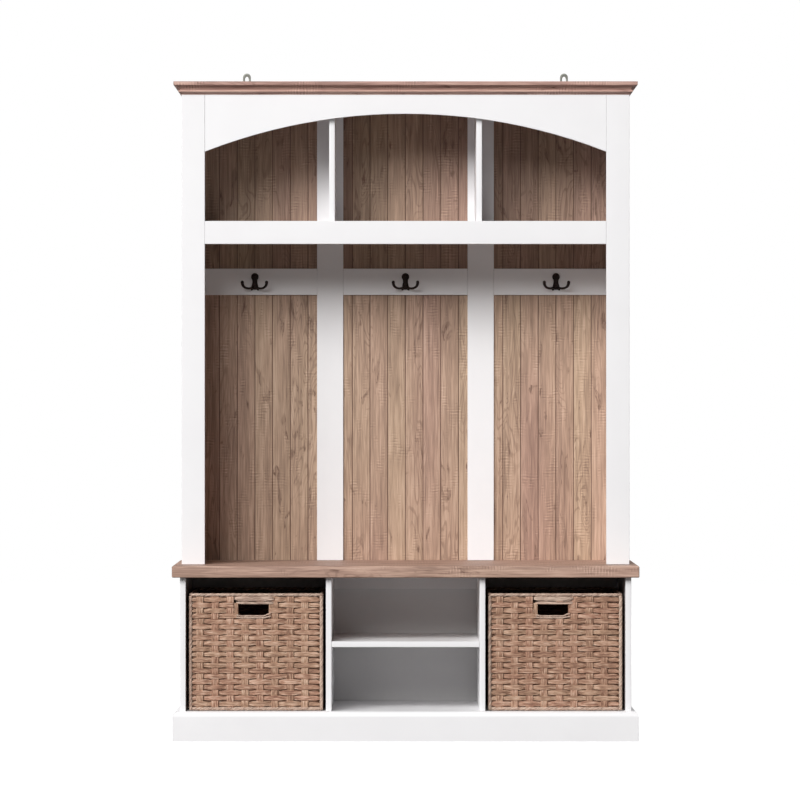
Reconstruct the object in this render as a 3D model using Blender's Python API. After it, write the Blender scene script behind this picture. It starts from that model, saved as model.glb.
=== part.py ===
"""Hall tree: a storage bench with two pull-out baskets, and a hutch with hooks and cubbies on top of it.

Units are metres, +Z is up and the front faces -Y. The origin is on the floor, in the middle of
the footprint. Every board, moulding, fitting and basket piece is an object of its own.
"""

import math

import bmesh
import bpy
from mathutils import Matrix, Vector

# ---------------------------------------------------------------- driving sizes

WIDTH = 1.200                # bench top and cornice, side to side
DEPTH = 0.400                # bench top, front to back
HEIGHT = 1.700               # floor to the top of the cornice
SEAT_HEIGHT = 0.450          # floor to the top of the bench

BOARD = 0.015                # laminated board
SEAT_BOARD = 0.030           # bench top
OVERHANG = 0.020             # bench top and cornice past the carcass
EDGE = 0.0008                # eased edge of a board
SEAT_EDGE = 0.003            # eased edge of the bench top
GAP = 0.0003                 # joint between two pieces that touch

PLINTH_HEIGHT = 0.0765       # floor to the top face of the bottom panel
PLINTH_PROUD = 0.0172        # plinth boards stand this far out from the carcass
PLINTH_ROUND = 0.0145        # radius along the plinth's top edge
CENTRE_BAY = 0.380           # clear width between the bench dividers
SEAT_RAIL = 0.046            # height of the rails under the back of the seat
BENCH_BACK = 0.005           # bench back panel
BENCH_BACK_INSET = 0.007     # from the bench back panel to the rear

HUTCH_SETBACK = 0.105        # bench front edge to the hutch front
STILE_WIDTH = 0.060          # face frame stile
SHELF_DROP = 0.360           # top of the cornice down to the top of the hutch shelf
SHELF_RAIL = 0.060           # height of the rail in front of the shelf
VALANCE_CROWN = 0.067        # height of the valance at the crown of its arch
ARCH_RISE = 0.098            # foot of the arch to its crown
ARCH_STEPS = 24              # flats along the arch
CORNICE_HEIGHT = 0.033
CORNICE_FILLET = 0.0095      # height of the flat band along the top of the cornice
CORNICE_COVE = 0.011         # height of the hollow below it
CORNICE_BEAD = 0.0057        # height of the round below that

MULLION_WIDTH = 0.070        # upright battens of the hutch back
HOOK_RAIL_HEIGHT = 0.070
HOOK_RAIL_DROP = 0.115       # shelf top down to the top of the hook rail
MULLION_INSET = 0.010        # from the battens to the rear
PANEL = 0.005                # beadboard
PANEL_RECESS = 0.006         # beadboard behind the battens' face
TONGUE = 0.006               # how far panels and rails reach into a groove
GROOVE_SPARE = 0.0005        # room past a tongue
BEAD_PITCH = 0.047
BEAD_WIDTH = 0.0034
BEAD_DEPTH = 0.0016
BEAD_MARGIN = 0.015          # least distance from a bead groove to a batten

HOLE_SPARE = 0.0005          # room past the tip of a screw
ROUND_SIDES = 8              # flats around a screw

HOOK_HEIGHT = 0.0466
HOOK_HEAD_RADIUS = 0.0094
HOOK_STEM = 0.0127           # width of the stem
HOOK_PLATE = 0.005           # thickness of the back plate
HOOK_REACH = 0.033           # wall plate to the middle of a prong's tip
HOOK_SPREAD = 0.0322         # middle of the hook to the middle of a prong's tip
PRONG_RADIUS = 0.0026
PRONG_TIP = 0.0040
SCREW_RADIUS = 0.00175
SCREW_HEAD_RADIUS = 0.0034
SCREW_HEAD = 0.0016
HOOK_LOWER_SCREW = -0.0075   # lower screw from the middle of the hook
HOOK_SCREW_COVER = 0.003     # board left behind the tip of a hook screw
HOOK_SHOULDER = 0.0165       # foot of the hook up to where its stem is straight
HOOK_LOBE = 0.0115           # middle of the hook to the side of its foot

HANGER_X = 0.422             # middle of a wall hanger from the middle of the hutch
HANGER_WIDTH = 0.021
HANGER_FOOT = 0.044          # width of the foot that takes the screws
HANGER_PLATE = 0.0015
HANGER_RISE = 0.045          # above the cornice
HANGER_HOLE = 0.0055         # radius of the eye
HANGER_SCREW = 0.020
HANGER_SCREW_PITCH = 0.030

BASKET_SIDE_ROOM = 0.007     # on each side of a basket
BASKET_REAR_ROOM = 0.011     # behind a basket, in front of the rear rails
BASKET_TOP_ROOM = 0.041      # above a basket
BASKET_SETBACK = 0.012       # carcass front to basket front
BASKET_WALL = 0.007
BASKET_CORNER = 0.014        # outer corner radius, seen from above
RIM_RADIUS = 0.0048          # rope around the mouth
WIRE_RADIUS = 0.002
SLOT_WIDTH = 0.077           # hand hole in the basket front
SLOT_HEIGHT = 0.0295
SLOT_DROP = 0.028            # basket top to the top of the hand hole
SLOT_ROUND = 0.006
SLOT_OFFSET = -0.006         # middle of the hand hole from the middle of the basket
CORNER_STEPS = 4

# ---------------------------------------------------------------- places that follow

FRONT = -DEPTH / 2
REAR = DEPTH / 2
CARCASS = WIDTH / 2 - OVERHANG               # outer face of the side panels
INNER = CARCASS - BOARD                      # inner face of the side panels
MULLION_CENTRE = INNER / 3 + MULLION_WIDTH / 6     # three bays of one width between the battens
BENCH_FRONT = FRONT + OVERHANG
SEAT_UNDER = SEAT_HEIGHT - SEAT_BOARD
BENCH_BACK_FACE = REAR - BENCH_BACK_INSET - BENCH_BACK
BAY_FLOOR = PLINTH_HEIGHT
DIVIDER = CENTRE_BAY / 2 + BOARD / 2         # middle of a bench divider
BAY_SIDE = DIVIDER + BOARD / 2               # inner edge of an outer bay
MID_SHELF_TOP = (BAY_FLOOR + SEAT_UNDER) / 2 + BOARD / 2

HUTCH_FRONT = FRONT + HUTCH_SETBACK
FRAME_BACK = HUTCH_FRONT + BOARD             # back of the face frame
TOP_UNDER = HEIGHT - BOARD                   # underside of the hutch top panel
MULLION_FRONT = REAR - MULLION_INSET - BOARD
PANEL_FRONT = MULLION_FRONT + PANEL_RECESS
OPENING = CARCASS - STILE_WIDTH              # half the clear width of the face frame
SHELF_TOP = HEIGHT - SHELF_DROP
ARCH_CROWN = TOP_UNDER - VALANCE_CROWN
HOOK_RAIL_TOP = SHELF_TOP - HOOK_RAIL_DROP
HOOK_RAIL_UNDER = HOOK_RAIL_TOP - HOOK_RAIL_HEIGHT
UPPER_DIVIDER = INNER / 3 + BOARD / 6        # three compartments of one width
MULLION_IN = MULLION_CENTRE - MULLION_WIDTH / 2
MULLION_OUT = MULLION_CENTRE + MULLION_WIDTH / 2
TOP_PANEL_REAR = REAR - HANGER_PLATE - SCREW_HEAD - 3 * GAP

BASKET_TOP = SEAT_UNDER - BASKET_TOP_ROOM
BASKET_FRONT = BENCH_FRONT + BASKET_SETBACK
BASKET_DEPTH = BENCH_BACK_FACE - BOARD - BASKET_REAR_ROOM - BASKET_FRONT
BASKET_WIDTH = INNER - BAY_SIDE - 2 * BASKET_SIDE_ROOM
BASKET_X = (INNER + BAY_SIDE) / 2

SIDES = (("left", -1), ("right", 1))
BACK_BAYS = (
    ("left", -INNER, -MULLION_OUT),
    ("centre", -MULLION_IN, MULLION_IN),
    ("right", MULLION_OUT, INNER),
)


# ---------------------------------------------------------------- scene and materials

def clear_scene():
    for obj in list(bpy.data.objects):
        bpy.data.objects.remove(obj, do_unlink=True)


def material(name, colour, roughness, metallic=0.0):
    mat = bpy.data.materials.new(name)
    mat.use_nodes = True
    shader = mat.node_tree.nodes["Principled BSDF"]
    shader.inputs["Base Color"].default_value = (*colour, 1.0)
    shader.inputs["Roughness"].default_value = roughness
    shader.inputs["Metallic"].default_value = metallic
    mat.diffuse_color = (*colour, 1.0)
    return mat


def add_object(name, mesh, mat, location=(0, 0, 0)):
    obj = bpy.data.objects.new(name, mesh)
    bpy.context.scene.collection.objects.link(obj)
    obj.location = location
    if mat:
        mesh.materials.append(mat)
    return obj


def smooth(obj, angle=40):
    obj.data.shade_smooth()
    obj.data.set_sharp_from_angle(angle=math.radians(angle))


# ---------------------------------------------------------------- shapes

def mesh_from(name, bm):
    bmesh.ops.recalc_face_normals(bm, faces=bm.faces[:])
    mesh = bpy.data.meshes.new(name)
    bm.to_mesh(mesh)
    bm.free()
    return mesh


def add_box(bm, lo, hi):
    lo, hi = Vector(lo), Vector(hi)
    size = hi - lo
    place = Matrix.Translation((lo + hi) / 2) @ Matrix.Diagonal((*size, 1.0))
    bmesh.ops.create_cube(bm, size=1.0, matrix=place)


def add_rod(bm, start, end, radius, sides=ROUND_SIDES):
    """A round bar between two points, turned the same way for every bar on one axis."""
    start, end = Vector(start), Vector(end)
    turn = (end - start).to_track_quat("Z", "Y").to_matrix().to_4x4()
    place = Matrix.Translation((start + end) / 2) @ turn
    bmesh.ops.create_cone(
        bm, cap_ends=True, cap_tris=False, segments=sides,
        radius1=radius, radius2=radius, depth=(end - start).length, matrix=place,
    )


def hole_radius(radius, sides=ROUND_SIDES):
    return radius + GAP / math.cos(math.pi / sides)


def board(name, mat, lo, hi, edge=EDGE, steps=1):
    """A board between two corners, with its origin in its middle and its edges eased."""
    lo, hi = Vector(lo), Vector(hi)
    middle = (lo + hi) / 2
    bm = bmesh.new()
    add_box(bm, lo - middle, hi - middle)
    obj = add_object(name, mesh_from(name, bm), mat, middle)
    bevel = obj.modifiers.new("eased edges", "BEVEL")
    bevel.width = edge
    bevel.segments = steps
    return obj


def between(name, mat, x0, x1, y0, y1, z0, z1, **options):
    """A board that meets its neighbours at all six planes, less half the joint at each of them."""
    g = GAP / 2
    return board(name, mat, (x0 + g, y0 + g, z0 + g), (x1 - g, y1 - g, z1 - g), **options)


def add_prism(bm, outline, plane, start, end):
    """Extrudes an outline. Plane "xy" rises along Z, and plane "xz" runs along Y."""
    def point(a, b, c):
        return (a, b, c) if plane == "xy" else (a, c, b)

    first = [bm.verts.new(point(a, b, start)) for a, b in outline]
    last = [bm.verts.new(point(a, b, end)) for a, b in outline]
    bm.faces.new(first)
    bm.faces.new(last)
    for i in range(len(outline)):
        j = (i + 1) % len(outline)
        bm.faces.new((first[i], first[j], last[j], last[i]))


def prism(name, mat, outline, plane, start, end, location=(0, 0, 0)):
    bm = bmesh.new()
    add_prism(bm, outline, plane, start, end)
    return add_object(name, mesh_from(name, bm), mat, location)


def arc(centre, radius, start, end, steps):
    """Points of an arc, with its angles in degrees."""
    points = []
    for i in range(steps + 1):
        a = math.radians(start + (end - start) * i / steps)
        points.append((centre[0] + radius * math.cos(a), centre[1] + radius * math.sin(a)))
    return points


def rounded_rectangle(x0, x1, y0, y1, radius, steps=CORNER_STEPS):
    points = []
    points += arc((x1 - radius, y1 - radius), radius, 0, 90, steps)
    points += arc((x0 + radius, y1 - radius), radius, 90, 180, steps)
    points += arc((x0 + radius, y0 + radius), radius, 180, 270, steps)
    points += arc((x1 - radius, y0 + radius), radius, 270, 360, steps)
    return points


def add_tube(bm, path, radii, sides, closed=False):
    """A tube along a path, with a ring of points square to it at each of the path's points."""
    path = [Vector(p) for p in path]
    count = len(path)
    rings = []
    side = None
    for i, point in enumerate(path):
        before = path[i - 1] if closed or i > 0 else point
        after = path[(i + 1) % count] if closed or i < count - 1 else point
        along = (after - before).normalized()
        if side is None:
            side = along.cross((0, 0, 1)).normalized()
        side = (side - along * side.dot(along)).normalized()
        up = along.cross(side)
        ring = []
        for k in range(sides):
            a = 2 * math.pi * (k + 0.5) / sides
            ring.append(bm.verts.new(point + radii[i] * (math.cos(a) * side + math.sin(a) * up)))
        rings.append(ring)
    for i in range(count if closed else count - 1):
        a, b = rings[i], rings[(i + 1) % count]
        for k in range(sides):
            m = (k + 1) % sides
            bm.faces.new((a[k], a[m], b[m], b[k]))
    if not closed:
        bm.faces.new(rings[0])
        bm.faces.new(rings[-1])


def tool(name, bm):
    """A hidden solid that a Boolean uses."""
    obj = add_object(name, mesh_from(name, bm), None)
    obj.hide_render = True
    obj.display_type = "WIRE"
    return obj


def boolean(target, name, bm, operation="DIFFERENCE"):
    mod = target.modifiers.new(name, "BOOLEAN")
    mod.solver = "EXACT"
    mod.operation = operation
    mod.object = tool(f"{target.name}.{name}", bm)


# ---------------------------------------------------------------- mouldings

def cornice_profile():
    """Distance out from the hutch and height above the cornice's underside, up its outer face."""
    top = CORNICE_HEIGHT
    cove_top = top - CORNICE_FILLET
    cove_foot = cove_top - CORNICE_COVE
    bead_foot = cove_foot - CORNICE_BEAD
    bead = CORNICE_BEAD / 2
    points = [(0.0, 0.0), (OVERHANG * 0.11, 0.0), (OVERHANG * 0.30, bead_foot / 2)]
    points += [(OVERHANG * 0.50, bead_foot)]
    points += arc((OVERHANG * 0.54, bead_foot + bead), bead, -60, 60, 3)
    points += [(OVERHANG * 0.60, cove_foot)]
    points += [(OVERHANG * 0.665, cove_foot + CORNICE_COVE * 0.41)]
    points += [(OVERHANG * 0.79, cove_foot + CORNICE_COVE * 0.77)]
    points += [(OVERHANG * 0.95, cove_top), (OVERHANG, cove_top), (OVERHANG, top), (0.0, top)]
    return points


def plinth_profile():
    centre = (PLINTH_PROUD - PLINTH_ROUND, PLINTH_HEIGHT - PLINTH_ROUND)
    points = [(0.0, 0.0), (PLINTH_PROUD, 0.0)]
    points += arc(centre, PLINTH_ROUND, 0, 90, 5)
    points += [(0.0, PLINTH_HEIGHT)]
    return points


def mitred_set(prefix, mat, profile, face, base):
    """A front length and two side lengths of one profile, mitred where they meet.

    The profile's first value is the distance out from the carcass. The front face is at y = face.
    """
    def extrude(name, place_a, place_b):
        bm = bmesh.new()
        a = [bm.verts.new(place_a(out, up)) for out, up in profile]
        b = [bm.verts.new(place_b(out, up)) for out, up in profile]
        bm.faces.new(a)
        bm.faces.new(b)
        for i in range(len(profile)):
            j = (i + 1) % len(profile)
            bm.faces.new((a[i], a[j], b[j], b[i]))
        obj = add_object(name, mesh_from(name, bm), mat)
        smooth(obj, 35)

    def front_end(sign):
        return lambda out, up: (sign * (CARCASS + out - GAP), face - out - GAP, base + up)

    extrude(f"{prefix}_front", front_end(-1), front_end(1))
    for side, sign in SIDES:
        def corner(out, up, sign=sign):
            return (sign * (CARCASS + out + GAP), face - out, base + up)

        def rear(out, up, sign=sign):
            return (sign * (CARCASS + out + GAP), REAR, base + up)

        extrude(f"{prefix}_{side}" if prefix == "cornice" else f"{prefix}_side_{side}", corner, rear)


# ---------------------------------------------------------------- bench

def build_bench(wood, white):
    between(
        "bench_top", wood, -WIDTH / 2, WIDTH / 2, FRONT, REAR, SEAT_UNDER, SEAT_HEIGHT,
        edge=SEAT_EDGE, steps=2,
    )
    for side, sign in SIDES:
        x0, x1 = sorted((sign * INNER, sign * CARCASS))
        name = f"bench_side_{side}"
        panel = between(name, white, x0, x1, BENCH_FRONT, REAR, 0.0, SEAT_UNDER)
        groove = bmesh.new()
        edge = sign * (INNER - GAP)
        deep = sign * (INNER + TONGUE + GROOVE_SPARE)
        add_box(
            groove,
            (min(edge, deep), BENCH_BACK_FACE - GAP, BAY_FLOOR - BOARD - GROOVE_SPARE),
            (max(edge, deep), BENCH_BACK_FACE + BENCH_BACK + GAP, SEAT_HEIGHT),
        )
        boolean(panel, "back_groove", groove)

        middle = sign * DIVIDER
        between(
            f"bench_divider_{side}", white, middle - BOARD / 2, middle + BOARD / 2,
            BENCH_FRONT, BENCH_BACK_FACE, BAY_FLOOR, SEAT_UNDER,
        )

    between(
        "bench_bottom_panel", white, -INNER, INNER,
        BENCH_FRONT, BENCH_BACK_FACE, BAY_FLOOR - BOARD, BAY_FLOOR,
    )
    shelf_half = DIVIDER - BOARD / 2
    between(
        "bench_middle_shelf", white, -shelf_half, shelf_half,
        BENCH_FRONT, BENCH_BACK_FACE, MID_SHELF_TOP - BOARD, MID_SHELF_TOP,
    )
    board(
        "bench_back_panel", white,
        (-INNER - TONGUE, BENCH_BACK_FACE, BAY_FLOOR - BOARD),
        (INNER + TONGUE, BENCH_BACK_FACE + BENCH_BACK, SEAT_UNDER - GAP),
    )
    rail_front = BENCH_BACK_FACE - BOARD
    between(
        "plinth_rear_rail", white, -INNER, INNER,
        rail_front, BENCH_BACK_FACE, 0.0, BAY_FLOOR - BOARD,
    )
    bays = (
        ("left", -INNER, -BAY_SIDE),
        ("centre", -shelf_half, shelf_half),
        ("right", BAY_SIDE, INNER),
    )
    for bay, x0, x1 in bays:
        between(
            f"seat_rear_rail_{bay}", white, x0, x1,
            rail_front, BENCH_BACK_FACE, SEAT_UNDER - SEAT_RAIL, SEAT_UNDER,
        )
    mitred_set("plinth", white, plinth_profile(), BENCH_FRONT, 0.0)


# ---------------------------------------------------------------- hutch

def arch_outline():
    """The valance: straight at the ends and the top, with a circular arch below."""
    half = OPENING - GAP
    radius = (OPENING ** 2 + ARCH_RISE ** 2) / (2 * ARCH_RISE)
    centre = ARCH_CROWN - radius
    points = [(half, TOP_UNDER - GAP), (-half, TOP_UNDER - GAP)]
    for i in range(ARCH_STEPS + 1):
        x = -half + 2 * half * i / ARCH_STEPS
        points.append((x, centre + math.sqrt(radius ** 2 - x ** 2)))
    return points


def shelf_outline():
    """The shelf from above: its back edge is notched around the two battens."""
    half = INNER - GAP / 2
    front = FRAME_BACK + GAP
    back = PANEL_FRONT - GAP
    notch = MULLION_FRONT - GAP
    wide = MULLION_WIDTH / 2 + GAP
    points = [(-half, front), (half, front), (half, back)]
    for middle in (MULLION_CENTRE, -MULLION_CENTRE):
        points += [(middle + wide, back), (middle + wide, notch)]
        points += [(middle - wide, notch), (middle - wide, back)]
    points += [(-half, back)]
    return points


def bead_outline(x0, x1):
    """A beadboard from above, with a row of V grooves in its front face, centred on its bay."""
    clear = x1 - x0
    count = int((clear - 2 * BEAD_MARGIN) / BEAD_PITCH) + 1
    middle = (x0 + x1) / 2
    points = [(x0 - TONGUE, PANEL_FRONT)]
    for i in range(count):
        x = middle + (i - (count - 1) / 2) * BEAD_PITCH
        points.append((x - BEAD_WIDTH / 2, PANEL_FRONT))
        points.append((x, PANEL_FRONT + BEAD_DEPTH))
        points.append((x + BEAD_WIDTH / 2, PANEL_FRONT))
    points += [(x1 + TONGUE, PANEL_FRONT), (x1 + TONGUE, PANEL_FRONT + PANEL)]
    points += [(x0 - TONGUE, PANEL_FRONT + PANEL)]
    return points


def build_hutch_frame(wood, white):
    for side, sign in SIDES:
        x0, x1 = sorted((sign * INNER, sign * CARCASS))
        name = f"hutch_side_{side}"
        panel = between(name, white, x0, x1, FRAME_BACK, REAR, SEAT_HEIGHT, TOP_UNDER)
        groove = bmesh.new()
        edge = sign * (INNER - GAP)
        deep = sign * (INNER + TONGUE + GROOVE_SPARE)
        add_box(
            groove,
            (min(edge, deep), PANEL_FRONT - GAP, SEAT_HEIGHT - BOARD),
            (max(edge, deep), PANEL_FRONT + PANEL + GAP, HEIGHT),
        )
        boolean(panel, "panel_groove", groove)

        x0, x1 = sorted((sign * OPENING, sign * CARCASS))
        between(f"hutch_stile_{side}", white, x0, x1, HUTCH_FRONT, FRAME_BACK, SEAT_HEIGHT, TOP_UNDER)

        middle = sign * UPPER_DIVIDER
        between(
            f"upper_divider_{side}", white, middle - BOARD / 2, middle + BOARD / 2,
            FRAME_BACK, MULLION_FRONT, SHELF_TOP, TOP_UNDER,
        )

    prism("arch_valance", white, arch_outline(), "xz", HUTCH_FRONT + GAP / 2, FRAME_BACK - GAP / 2)
    between(
        "shelf_front_rail", white, -OPENING, OPENING,
        HUTCH_FRONT, FRAME_BACK, SHELF_TOP - SHELF_RAIL, SHELF_TOP,
    )
    prism(
        "hutch_shelf", white, shelf_outline(), "xy", SHELF_TOP - BOARD + GAP / 2, SHELF_TOP - GAP / 2
    )
    between(
        "hutch_top_panel", wood, -CARCASS, CARCASS, HUTCH_FRONT, TOP_PANEL_REAR, TOP_UNDER, HEIGHT
    )
    mitred_set("cornice", wood, cornice_profile(), HUTCH_FRONT, HEIGHT - CORNICE_HEIGHT)


def build_hutch_back(wood, white):
    groove_front = PANEL_FRONT - GAP
    groove_back = PANEL_FRONT + PANEL + GAP
    reach = TONGUE + GROOVE_SPARE
    mullion_back = MULLION_FRONT + BOARD

    for side, sign in SIDES:
        middle = sign * MULLION_CENTRE
        x0 = middle - MULLION_WIDTH / 2
        x1 = middle + MULLION_WIDTH / 2
        batten = between(
            f"mullion_{side}", white, x0, x1, MULLION_FRONT, mullion_back, SEAT_HEIGHT, TOP_UNDER
        )
        grooves = bmesh.new()
        add_box(grooves, (x0 - BOARD, groove_front, SEAT_HEIGHT - BOARD), (x0 + reach, groove_back, HEIGHT))
        add_box(grooves, (x1 - reach, groove_front, SEAT_HEIGHT - BOARD), (x1 + BOARD, groove_back, HEIGHT))
        boolean(batten, "panel_grooves", grooves)

    for bay, x0, x1 in BACK_BAYS:
        rail = board(
            f"hook_rail_{bay}", white,
            (x0 - TONGUE, MULLION_FRONT, HOOK_RAIL_UNDER), (x1 + TONGUE, mullion_back, HOOK_RAIL_TOP),
        )
        left = x0 - BOARD
        right = x1 + BOARD
        low = HOOK_RAIL_UNDER - BOARD
        high = HOOK_RAIL_TOP + BOARD
        grooves = bmesh.new()
        add_box(grooves, (left, groove_front, low), (right, groove_back, HOOK_RAIL_UNDER + reach))
        add_box(grooves, (left, groove_front, HOOK_RAIL_TOP - reach), (right, groove_back, high))
        boolean(rail, "panel_grooves", grooves)
        shoulders = bmesh.new()
        for a, b in ((left, x0 + GAP), (x1 - GAP, right)):
            add_box(shoulders, (a, MULLION_FRONT - BOARD, low), (b, PANEL_FRONT, high))
            add_box(shoulders, (a, PANEL_FRONT + PANEL, low), (b, mullion_back + BOARD, high))
        boolean(rail, "shoulders", shoulders)

        outline = bead_outline(x0, x1)
        prism(
            f"back_panel_lower_{bay}", wood, outline, "xy", SEAT_HEIGHT + GAP, HOOK_RAIL_UNDER + TONGUE
        )
        prism(
            f"back_panel_upper_{bay}", wood, outline, "xy", HOOK_RAIL_TOP - TONGUE, TOP_UNDER - GAP
        )


# ---------------------------------------------------------------- hooks and hangers

def screw_profile(length):
    """Half of a screw, from tip to crown: radius, and distance past the seat of its head."""
    crown = -SCREW_HEAD
    return [
        (SCREW_RADIUS * 0.5, length),
        (SCREW_RADIUS, length - SCREW_RADIUS),
        (SCREW_RADIUS, 0.0),
        (SCREW_HEAD_RADIUS, 0.0),
        (SCREW_HEAD_RADIUS, crown * 0.4),
        (SCREW_HEAD_RADIUS * 0.55, crown),
    ]


def add_turned(bm, seat, into, profile, sides=ROUND_SIDES):
    """Turns a profile of (radius, distance along "into") around an axis through "seat"."""
    seat = Vector(seat)
    turn = Vector(into).to_track_quat("Z", "Y").to_matrix()
    rings = []
    for radius, along in profile:
        ring = []
        for k in range(sides):
            a = 2 * math.pi * (k + 0.5) / sides
            point = Vector((radius * math.cos(a), radius * math.sin(a), along))
            ring.append(bm.verts.new(seat + turn @ point))
        rings.append(ring)
    for a, b in zip(rings, rings[1:]):
        for k in range(sides):
            m = (k + 1) % sides
            bm.faces.new((a[k], a[m], b[m], b[k]))
    bm.faces.new(rings[0])
    bm.faces.new(rings[-1])


def hook_outline():
    """The back plate from the front: a round head, a stem and a flared foot with a notch."""
    top = HOOK_HEIGHT / 2
    stem = HOOK_STEM / 2
    head = (0.0, top - HOOK_HEAD_RADIUS)
    start = -math.degrees(math.acos(stem / HOOK_HEAD_RADIUS))
    lobe = HOOK_LOBE
    right = [(lobe * 0.35, 0.0024), (lobe * 0.83, 0.0012), (lobe, 0.0050), (lobe * 0.74, 0.0100)]
    right = [(x, z - top) for x, z in right + [(stem, HOOK_SHOULDER)]]
    left = [(-x, z) for x, z in reversed(right)]
    notch = (0.0, 0.0040 - top)
    return right + arc(head, HOOK_HEAD_RADIUS, start, 180 - start, 12) + left + [notch]


def prong_path(sign):
    """A prong leaves the foot, runs outward and forward, and turns up to its tip."""
    low = -HOOK_HEIGHT / 2
    flat = low + 0.0008
    controls = [
        Vector((sign * 0.005, -HOOK_PLATE / 2, low + 0.0075)),
        Vector((sign * 0.012, -HOOK_REACH * 0.35, flat)),
        Vector((sign * HOOK_SPREAD * 0.95, -HOOK_REACH * 0.90, flat)),
        Vector((sign * HOOK_SPREAD, -HOOK_REACH, low + 0.0205)),
    ]
    steps = 8
    points = []
    for i in range(steps + 1):
        t = i / steps
        u = 1 - t
        weights = (u ** 3, 3 * u * u * t, 3 * u * t * t, t ** 3)
        points.append(sum((w * c for w, c in zip(weights, controls)), Vector()))
    points.append(points[-1] + Vector((0, 0, PRONG_TIP * 0.8)))
    radii = [PRONG_RADIUS] * (steps - 1) + [PRONG_TIP * 0.85, PRONG_TIP, PRONG_TIP * 0.3]
    return points, radii


def screw(name, mat, seat, into, length):
    """A round-headed screw, with its origin where its head rests."""
    bm = bmesh.new()
    add_turned(bm, (0, 0, 0), into, screw_profile(length))
    smooth(add_object(name, mesh_from(name, bm), mat, seat), 50)


def build_hooks(bronze):
    seat = -HOOK_PLATE - GAP
    depth = BOARD - HOOK_SCREW_COVER
    screw_places = (("upper", HOOK_HEIGHT / 2 - HOOK_HEAD_RADIUS), ("lower", HOOK_LOWER_SCREW))
    for bay, x0, x1 in BACK_BAYS:
        middle = Vector(((x0 + x1) / 2, MULLION_FRONT, (HOOK_RAIL_TOP + HOOK_RAIL_UNDER) / 2))
        hook = prism(f"coat_hook_{bay}", bronze, hook_outline(), "xz", seat, -GAP, middle)
        for side, sign in SIDES:
            bm = bmesh.new()
            points, radii = prong_path(sign)
            add_tube(bm, [middle + p for p in points], radii, 8)
            boolean(hook, f"prong_{side}", bm, "UNION")
        holes = bmesh.new()
        rail_holes = bmesh.new()
        for place, z in screw_places:
            at = middle + Vector((0, 0, z))
            inside = at + Vector((0, depth + HOLE_SPARE, 0))
            add_rod(holes, at - Vector((0, 2 * HOOK_PLATE, 0)), inside, hole_radius(SCREW_RADIUS))
            add_rod(rail_holes, at - Vector((0, HOOK_PLATE, 0)), inside, hole_radius(SCREW_RADIUS))
            head_seat = at + Vector((0, seat - GAP, 0))
            screw(f"hook_screw_{bay}_{place}", bronze, head_seat, (0, 1, 0), depth - seat + GAP)
        boolean(hook, "screw_holes", holes)
        boolean(bpy.data.objects[f"hook_rail_{bay}"], "screw_holes", rail_holes)
        smooth(hook, 50)


def build_hangers(steel):
    """Steel plates on the rear edge of the top panel: two screws in a wide foot, and an eye above."""
    panel_holes = bmesh.new()
    foot = HANGER_FOOT / 2
    half = HANGER_WIDTH / 2
    low = TOP_UNDER + GAP
    high = HEIGHT - GAP
    eye_top = HEIGHT + HANGER_RISE - half
    outline = [(half, high), (foot, high), (foot, low), (-foot, low), (-foot, high), (-half, high)]
    outline = list(reversed(outline)) + arc((0.0, eye_top), half, 0, 180, 12)
    front = TOP_PANEL_REAR + GAP
    seat = front + HANGER_PLATE + GAP
    for side, sign in SIDES:
        x = sign * HANGER_X
        plate = prism(f"wall_hanger_{side}", steel, outline, "xz", front, front + HANGER_PLATE, (x, 0, 0))
        holes = bmesh.new()
        eye = Vector((x, front, HEIGHT + HANGER_RISE - half - HANGER_HOLE))
        add_rod(holes, eye - Vector((0, BOARD, 0)), eye + Vector((0, BOARD, 0)), HANGER_HOLE, 14)
        for place, offset in (("a", -HANGER_SCREW_PITCH / 2), ("b", HANGER_SCREW_PITCH / 2)):
            at = Vector((x + offset, seat, HEIGHT - BOARD / 2))
            tip = at - Vector((0, HANGER_SCREW, 0))
            screw(f"hanger_screw_{side}_{place}", steel, at, (0, -1, 0), HANGER_SCREW)
            outside = at + Vector((0, BOARD, 0))
            inside = at - Vector((0, BOARD, 0))
            end = tip - Vector((0, HOLE_SPARE, 0))
            add_rod(holes, outside, inside, hole_radius(SCREW_RADIUS))
            add_rod(panel_holes, outside, end, hole_radius(SCREW_RADIUS))
        boolean(plate, "holes", holes)
        smooth(plate)
    boolean(bpy.data.objects["hutch_top_panel"], "screw_holes", panel_holes)


# ---------------------------------------------------------------- baskets

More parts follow.
